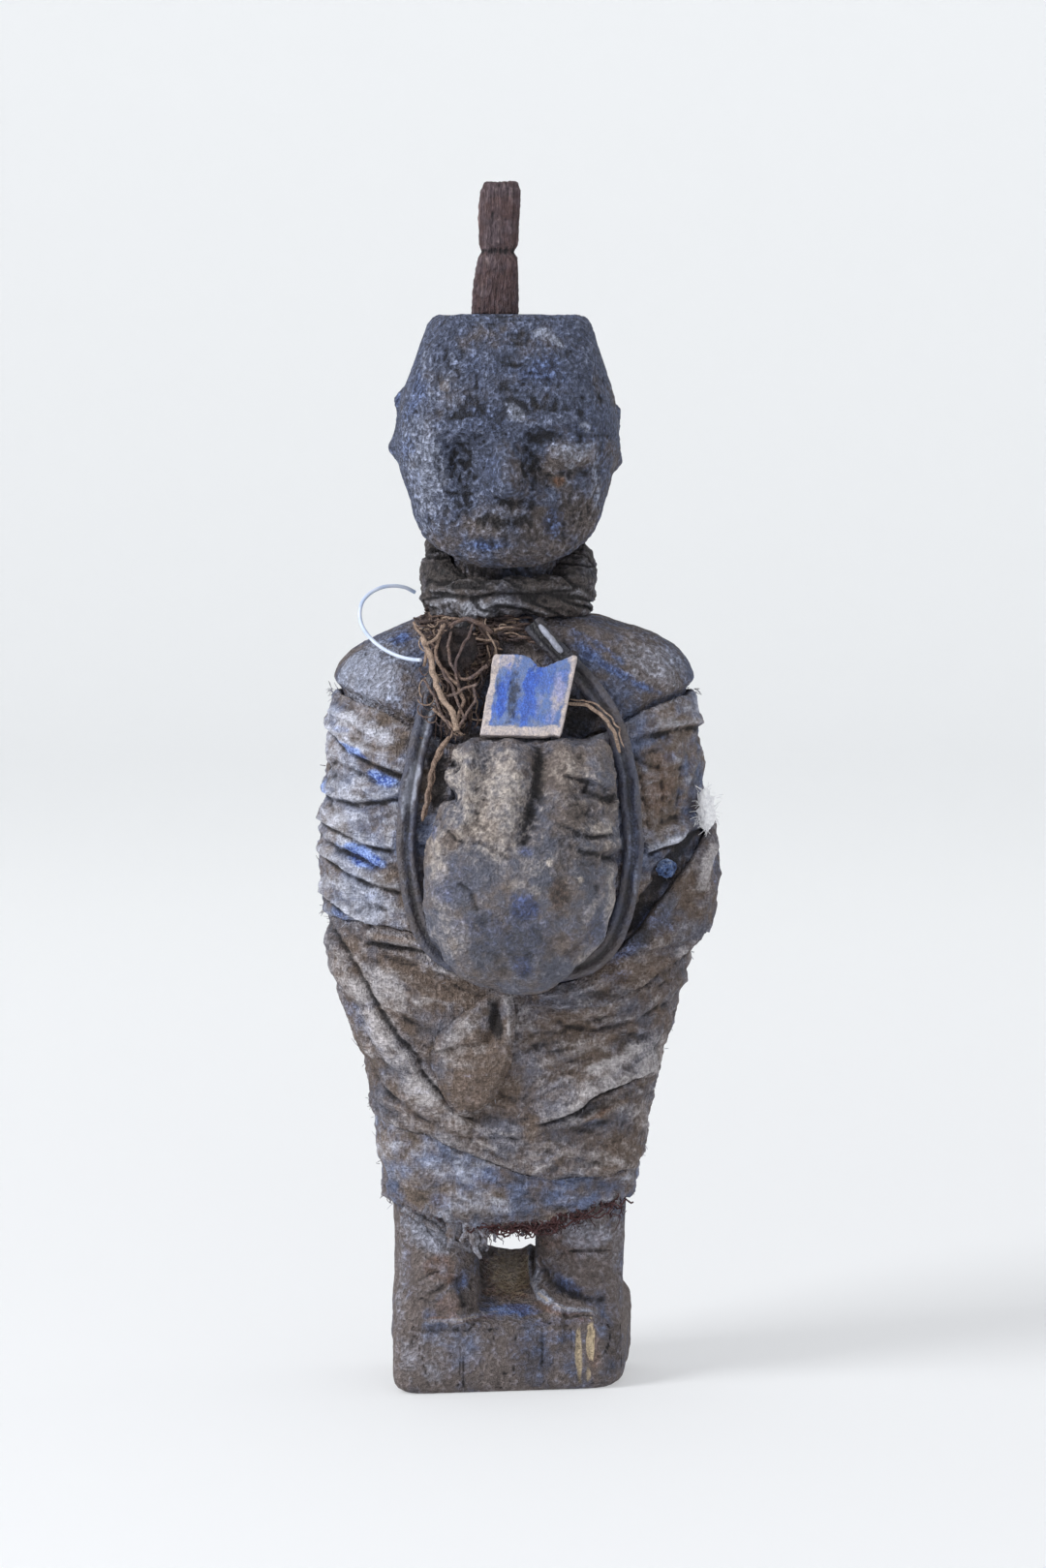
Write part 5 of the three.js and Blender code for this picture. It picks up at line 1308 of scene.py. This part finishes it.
def slingMesh():
    t, low, high = (np.array(v, float) for v in zip(*slingRows))
    inRange = np.where((turn >= t[0]) & (turn <= t[-1]))[0]
    at = turn[inRange]
    lowEdge, highEdge = np.interp(at, t, low), np.interp(at, t, high)
    wander = np.stack([at * 1.0, at * 0, at * 0], 1)
    lowEdge = lowEdge + (0.9 + 1.9 * hump(at - 86, 16)) * cloud(wander, 4.4, 4, 221, 0.7)
    lowEdge = lowEdge - 1.5 * hump(at - 84, 14)
    highEdge = highEdge + 0.7 * cloud(wander, 7, 3, 224)
    rows = slingLook["rows"]
    p, n = bodyGrid(lowEdge, highEdge, rows, slice(inRange[0], inRange[-1] + 1))
    share = np.linspace(0, 1, rows)[:, None] * np.ones(len(at))
    x, z = p[..., 0].ravel(), p[..., 2].ravel()
    span = (at - t[0]) / (t[-1] - t[0])
    ends = (smoothStep(0, 0.06, span) * (1 - smoothStep(0.94, 1, span)))[None, :]
    swell = 1 - 0.55 * np.abs(share * 2 - 1) ** 4
    flat = p.reshape(-1, 3)
    folds = 0.9 * np.sin(share * 11 + span[None, :] * 5 + 1.1 * cloud(flat, 14, 2, 227).reshape(rows, -1))
    crease = cloud(flat, (12, 12, 4), 3, 230).reshape(rows, -1)
    front = foldsAt(x, z, slingFolds).reshape(rows, -1)
    fullness = slingLook["full"] * swell + folds * 0.7 + 0.6 * crease + front
    height = slingLook["lift"] + fullness * (0.35 + 0.65 * ends)
    flare = slingLook["flare"] * hump(at - 84, 15)[None, :] * (1 - share) ** 2
    height = np.maximum(height, slingLook["lift"] + 0.5) + flare
    grit = cloud(flat, 1.8, 3, 233).reshape(rows, -1)
    outside = p + n * (height + 0.25 * grit)[..., None]
    inside = (p + n * (0.45 + 0.75 * flare)[..., None])[::-1]
    points = np.concatenate([outside, inside]).reshape(-1, 3)
    relief = (folds * 0.7 + 0.6 * crease + front).ravel()
    facing = smoothStep(0.0, 0.3, -n.reshape(-1, 3)[:, 1])
    marks = bodyMarks(flat, facing, relief, grit.ravel(), slingSpots)
    return newMesh("sling", points, layerFaces(rows, len(at))), lined(marks, len(flat))


slingFolds = [
    ("ridge", 1.3, 1.2, 0, [(59, 176), (56, 170), (53.5, 163), (52.5, 158)]),
    ("groove", 1.2, 1.2, 0, [(56, 177), (52.4, 168), (48.6, 158), (42, 148)]),
    ("lap", 1.3, 0.7, 5, [(26, 141), (34, 142), (46, 143.5), (52, 148)]),
    ("ridge", 0.8, 1.0, 0, [(24, 129), (34, 128.6), (44, 133)]),
]
# The dark spots are painted shade: in the gap between the pouch and the sling, under the pouch and in the
# grooves
slingSpots = {
    "blue": [(40, 152, 6, 6, 40, 0.4), (60, 156, 5, 12, 10, 1.0), (28, 134, 8, 3, 0, 0.4),
        (30, 143, 8, 5, 40, 0.5)],
    "pale": [(54.5, 167, 1.4, 10, -18, 0.9), (47, 140, 3, 2, 0, 0.7), (62, 162, 3, 12, 0, 0.45)],
    "dark": [(34, 147, 7, 4, 40, 0.8), (24, 127, 12, 3, 0, 0.6), (57, 158, 1.6, 8, -15, 0.7),
        (44, 158, 7, 2.4, 50, 0.6)],
    "warm": [(38, 136, 14, 5, 0, 0.6), (48, 152, 5, 6, 30, 0.4)],
}
slingShape, slingMarks = slingMesh()
sling = place("elbow_cloth", slingShape, darkClothFinish, ["elbow_sling"], slingMarks)


# Cloth end under the pouch

# Height, left edge and right edge
tailRows = [(89, -20, -15.5), (96, -25.5, -8), (106, -29, -3.5), (114, -27.6, -2.4), (121, -20, -2.2),
    (129.6, -9.5, -3.4)]
tailFolds = [
    ("ridge", 0.9, 1.8, 0, [(-12.4, 124), (-20, 117.4), (-28, 110)]),
    ("lap", 1.1, 0.6, 9, [(-29, 108.8), (-23, 111.4), (-18, 112.6), (-12.6, 112.8)]),
    ("groove", 2.0, 1.5, 0, [(-7.4, 128), (-8.4, 121), (-10.4, 115), (-11.6, 112)]),
    ("ridge", 0.8, 0.8, 0, [(-4.6, 128), (-4.2, 120), (-3.4, 111)]),
    ("ridge", 1.0, 5.0, 0, [(-18, 108), (-17, 98), (-17, 92)]),
]
# The dark spots are painted shade in the deep groove, under the lap edge and at the foot of the cloth
tailSpots = {
    "pale": [(-19, 117, 8, 3.4, 42, 0.55), (-4.4, 119, 0.9, 8, 0, 0.5)],
    "dark": [(-8.8, 120, 2.6, 7, 12, 1.5), (-16, 90.4, 4, 2, 0, 0.7), (-24, 110.6, 6, 0.7, 12, 0.6)],
    "warm": [(-17, 100, 10, 13, 0, 0.75), (-5, 104, 3, 8, 0, 0.6), (-18, 112, 8, 5, 20, 0.6)],
}


def tailMesh():
    h, left, right = (np.array(v, float) for v in zip(*tailRows))
    rows, columns = 74, 48
    z = np.linspace(h[0], h[-1], rows)
    soften = np.linspace(0, 1, columns)
    lefts, rights = np.interp(z, h, left), np.interp(z, h, right)
    lefts = lefts + 0.5 * cloud(np.stack([z, z * 0, z * 0], 1), 4, 2, 241)
    x = lefts[:, None] + (rights - lefts)[:, None] * soften
    zz = np.repeat(z[:, None], columns, 1)
    y = np.array([frontAt(a, b, clothSkin) for a, b in zip(x.ravel(), zz.ravel())]).reshape(x.shape)
    flat = np.stack([x, y, zz], -1).reshape(-1, 3)
    front = foldsAt(flat[:, 0], flat[:, 2], tailFolds)
    edge = np.minimum(soften, 1 - soften)[None, :] * (rights - lefts)[:, None]
    edge = np.minimum(edge, np.minimum(zz - h[0], h[-1] - zz + 3))
    swell = 0.5 + 1.9 * smoothStep(0, 2.6, edge).ravel()
    grit = cloud(flat, 1.9, 3, 244)
    off = 0.5 + swell + front * smoothStep(0, 1.5, edge).ravel() + 0.2 * grit
    outside = flat - np.array([0, 1, 0]) * np.maximum(off, 0.75)[:, None]
    inside = (flat - np.array([0, 0.35, 0])).reshape(rows, columns, 3)[::-1].reshape(-1, 3)
    marks = bodyMarks(flat, np.ones(len(flat)), front, grit, tailSpots)
    return newMesh("tail", np.vstack([outside, inside]), layerFaces(rows, columns)), lined(marks, len(flat))


tailShape, tailMarks = tailMesh()
tail = place("hanging_cloth", tailShape, darkClothFinish, ["cloth_tail"], tailMarks)


# Pebble and cotton

def pebbleRelief(p, n):
    lump = cloud(p, 2.2, 3, 251)
    upper = smoothStep(-0.2, 0.7, n[:, 2] - 0.5 * n[:, 0])
    # Painted light: faces turned up and to the left get a painted highlight, the others painted shade
    return 0.9 * lump, {"pale": np.clip(0.4 * lump + 0.6 * upper, 0, 1),
                        "hollow": np.clip(0.6 - upper - 0.5 * lump, 0, 1)}


def bodyPlace(angle, height):
    level = np.full(body["columns"], height)
    return bodyGrid(level, level + 1, 2)[0][0, np.argmin(np.abs(turn - angle))]


pebble = aged("blue_lump", "blue_pebble", 0.3, 2, pebbleRelief, paintFinish)
pebbleShift = bodyPlace(60.5, 166.8) - bodyPlace(66, 168.8)  # it lies a little further along the sling
setPoints(pebble.data, pointsOf(pebble.data) + pebbleShift)


def tuftRelief(p, n):
    return 1.5 * cloud(p, 3.0, 3, 254) - 0.2, {}


tuft = aged("cotton_wad", "cotton_tuft", 0.4, 2, tuftRelief, cottonFinish)
tuftShift = np.array([-1.6, -2.6, -3.2])  # it has slipped a little down the sleeve edge
setPoints(tuft.data, pointsOf(tuft.data) + tuftShift)
tuftMiddle = np.array([58.8, -14.1, 187.0]) + tuftShift
wispPaths = []
for k in range(90):
    way = random.normal(size=3)
    way /= np.linalg.norm(way)
    side = np.cross(way, random.normal(size=3))
    start = tuftMiddle + way * np.array([2.2, 3.2, 6.4]) * 0.85
    reachOut = random.uniform(1.5, 4.0)
    bend = np.linspace(0, 1, 6)[:, None]
    wispPaths.append((start + way * reachOut * bend + side * 1.6 * bend ** 2, 0.09, 0.09, 0.5))
wispPoints, wispFaces, _ = tubes(wispPaths, 4)
place("cotton_wisps", newMesh("cotton_wisps", wispPoints, wispFaces), cottonFinish)


# Torn hem and loose threads

hemPoints, hemNormals = bodyGrid(skirtEdge + 1.2, skirtEdge + 2.2, 2)
redTone = 10  # added to the tone of a red thread
threadDepth = 0.3  # half the thickness of a flat strip


def drawnColumn(draws, fromTurn, toTurn):
    return int((draws.uniform(fromTurn, toTurn) + 180) / 360 * body["columns"]) % body["columns"]


def hangingThreads(count, fromTurn, toTurn, lengths, widths, warmth, pale, curl, seed, flat=False):
    draws = np.random.default_rng(seed)
    made = []
    for k in range(count):
        column = drawnColumn(draws, fromTurn, toTurn)
        start = hemPoints[0, column] - hemNormals[0, column] * 0.8
        patch = math.sin(start[0] * 0.7 + 1) * 0.35 + math.sin(start[0] * 1.9) * 0.25
        length = draws.uniform(*lengths) * (1 - 0.5 * hump(start[0] + 2, 9)) * (0.9 + patch)
        share = np.linspace(0, 1, 11)[:, None]
        sway = draws.normal(size=3) * np.array([1, 0.6, 0.15])
        path = start + np.array([0, 0, -1.0]) * length * share + sway * share ** 2 * length * 0.35
        path = path + drift(path + 31 * k, 2.0, 2, seed) * curl * share
        width = draws.uniform(*widths)
        shape = width * (1 - 0.7 * share[:, 0] ** 2)
        colour = draws.uniform(*pale) + (redTone if draws.random() < warmth else 0)
        made.append((path, shape, threadDepth if flat else shape, colour))
    return made


def hangingLoops(count, fromTurn, toTurn, seed):  # threads caught at both ends
    draws = np.random.default_rng(seed)
    made = []
    for k in range(count):
        column = drawnColumn(draws, fromTurn, toTurn)
        start, span = hemPoints[0, column], draws.uniform(3, 13)
        share = np.linspace(0, 1, 15)[:, None]
        path = start + np.array([1.0, 0, 0.1]) * span * share
        path = path - np.array([0, 0.4, 1.0]) * draws.uniform(0.8, 3.4) * np.sin(share * math.pi)
        path = path + drift(path + 17 * k, 3.0, 2, seed) * 1.4
        width = draws.uniform(0.18, 0.34)
        made.append((path, width, width, draws.uniform(0, 0.2) + redTone))
    return made


tornStrips = [  # strips of the hem over the left leg: line, half width, tone
    ([(-38, 59), (-33, 56), (-27, 51.6), (-21, 47), (-16, 43.6), (-12.4, 41)], 1.3, 0.5),
    ([(-31, 59), (-26, 54.6), (-21, 50.6), (-17, 46.4), (-14, 42.6)], 1.7, 0.35),
    ([(-24, 58), (-20.6, 53), (-17.4, 48), (-14, 44), (-11.6, 40)], 1.4, 0.6),
    ([(-17, 57), (-16, 52), (-14.6, 47), (-12, 43.6)], 1.2, 0.3),
    ([(-21, 54), (-16, 51), (-11, 50), (-7, 51.6)], 0.7, 10.1),
]


def looseFuzz(count, seed):  # short fibres at the edges and over the cloth
    draws = np.random.default_rng(seed)
    made = []
    spread, outward = bodyGrid(skirtEdge, edges["chestTop"], 120)
    for k in range(count):
        column = draws.integers(body["columns"])
        edge = draws.choice(["chestTop", "chestLow", "hipLow", "anywhere"], p=[0.25, 0.25, 0.2, 0.3])
        if edge == "anywhere":
            height = draws.uniform(55, 215)
        else:
            height = edges[edge][column] + draws.normal(0, 1.2)
        row = int(np.abs(spread[:, column, 2] - height).argmin())
        away = outward[row, column]
        start = spread[row, column] + away * 0.3
        share = np.linspace(0, 1, 6)[:, None]
        side = np.cross(away, draws.normal(size=3))
        path = start + away * draws.uniform(0.6, 1.8) * share
        path = path + side * draws.uniform(0.3, 1.6) * share ** 1.5
        shape = draws.uniform(0.07, 0.17) * (1 - 0.5 * share[:, 0])
        made.append((path, shape, shape, draws.uniform(0.1, 0.9)))
    return made


tornSkin = skinOf("figure", "skirt_wrap")
hemPaths = []
for k, (line, width, pale) in enumerate(tornStrips):
    path = smoothLine([(x, 0.0, z) for x, z in line], 7)
    y = np.array([frontAt(x, z, tornSkin) for x, _, z in path])
    path[:, 1] = np.convolve(np.pad(y, 3, "edge"), np.full(7, 1 / 7), "valid") - 1.0 - 0.3 * k
    path += drift(path, 3.0, 2, 381 + 5 * k) * 0.9
    taper = 1 - 0.75 * np.linspace(0, 1, len(path)) ** 5
    grown = width * (1 + 0.35 * cloud(path, 2.5, 2, 391 + k)) * taper
    hemPaths.append((path, grown, 0.35, pale))
# Count, turns from and to, lengths, half widths, share of red ones, tones, curl, seed, flat or round
hemPaths += hangingThreads(170, -30, 64, (1.6, 6.0), (0.16, 0.38), 0.85, (0.0, 0.3), 3.2, 301)
hemPaths += hangingLoops(36, -22, 56, 331)
hemPaths += hangingThreads(16, -40, -12, (5, 15), (0.7, 1.9), 0.2, (0.2, 0.6), 1.6, 311, True)
hemPaths += hangingThreads(26, -44, 62, (1.5, 5), (0.6, 1.8), 0.5, (0.1, 0.5), 1.6, 341, True)
hemPaths += hangingThreads(120, -180, 180, (1.0, 3.2), (0.14, 0.34), 0.3, (0.1, 0.6), 1.6, 321)
hemPaths += looseFuzz(700, 351)
fringePoints, hemFaces, hemTone = tubes(hemPaths, 5)
isRed = hemTone >= redTone
hemMarks = {"pale": hemTone % redTone, "warm": isRed * 1.6, "dark": isRed * 0.45}
place("hem_fringe", newMesh("hem_fringe", fringePoints, hemFaces), threadFinish, [], hemMarks)
print("threads made")
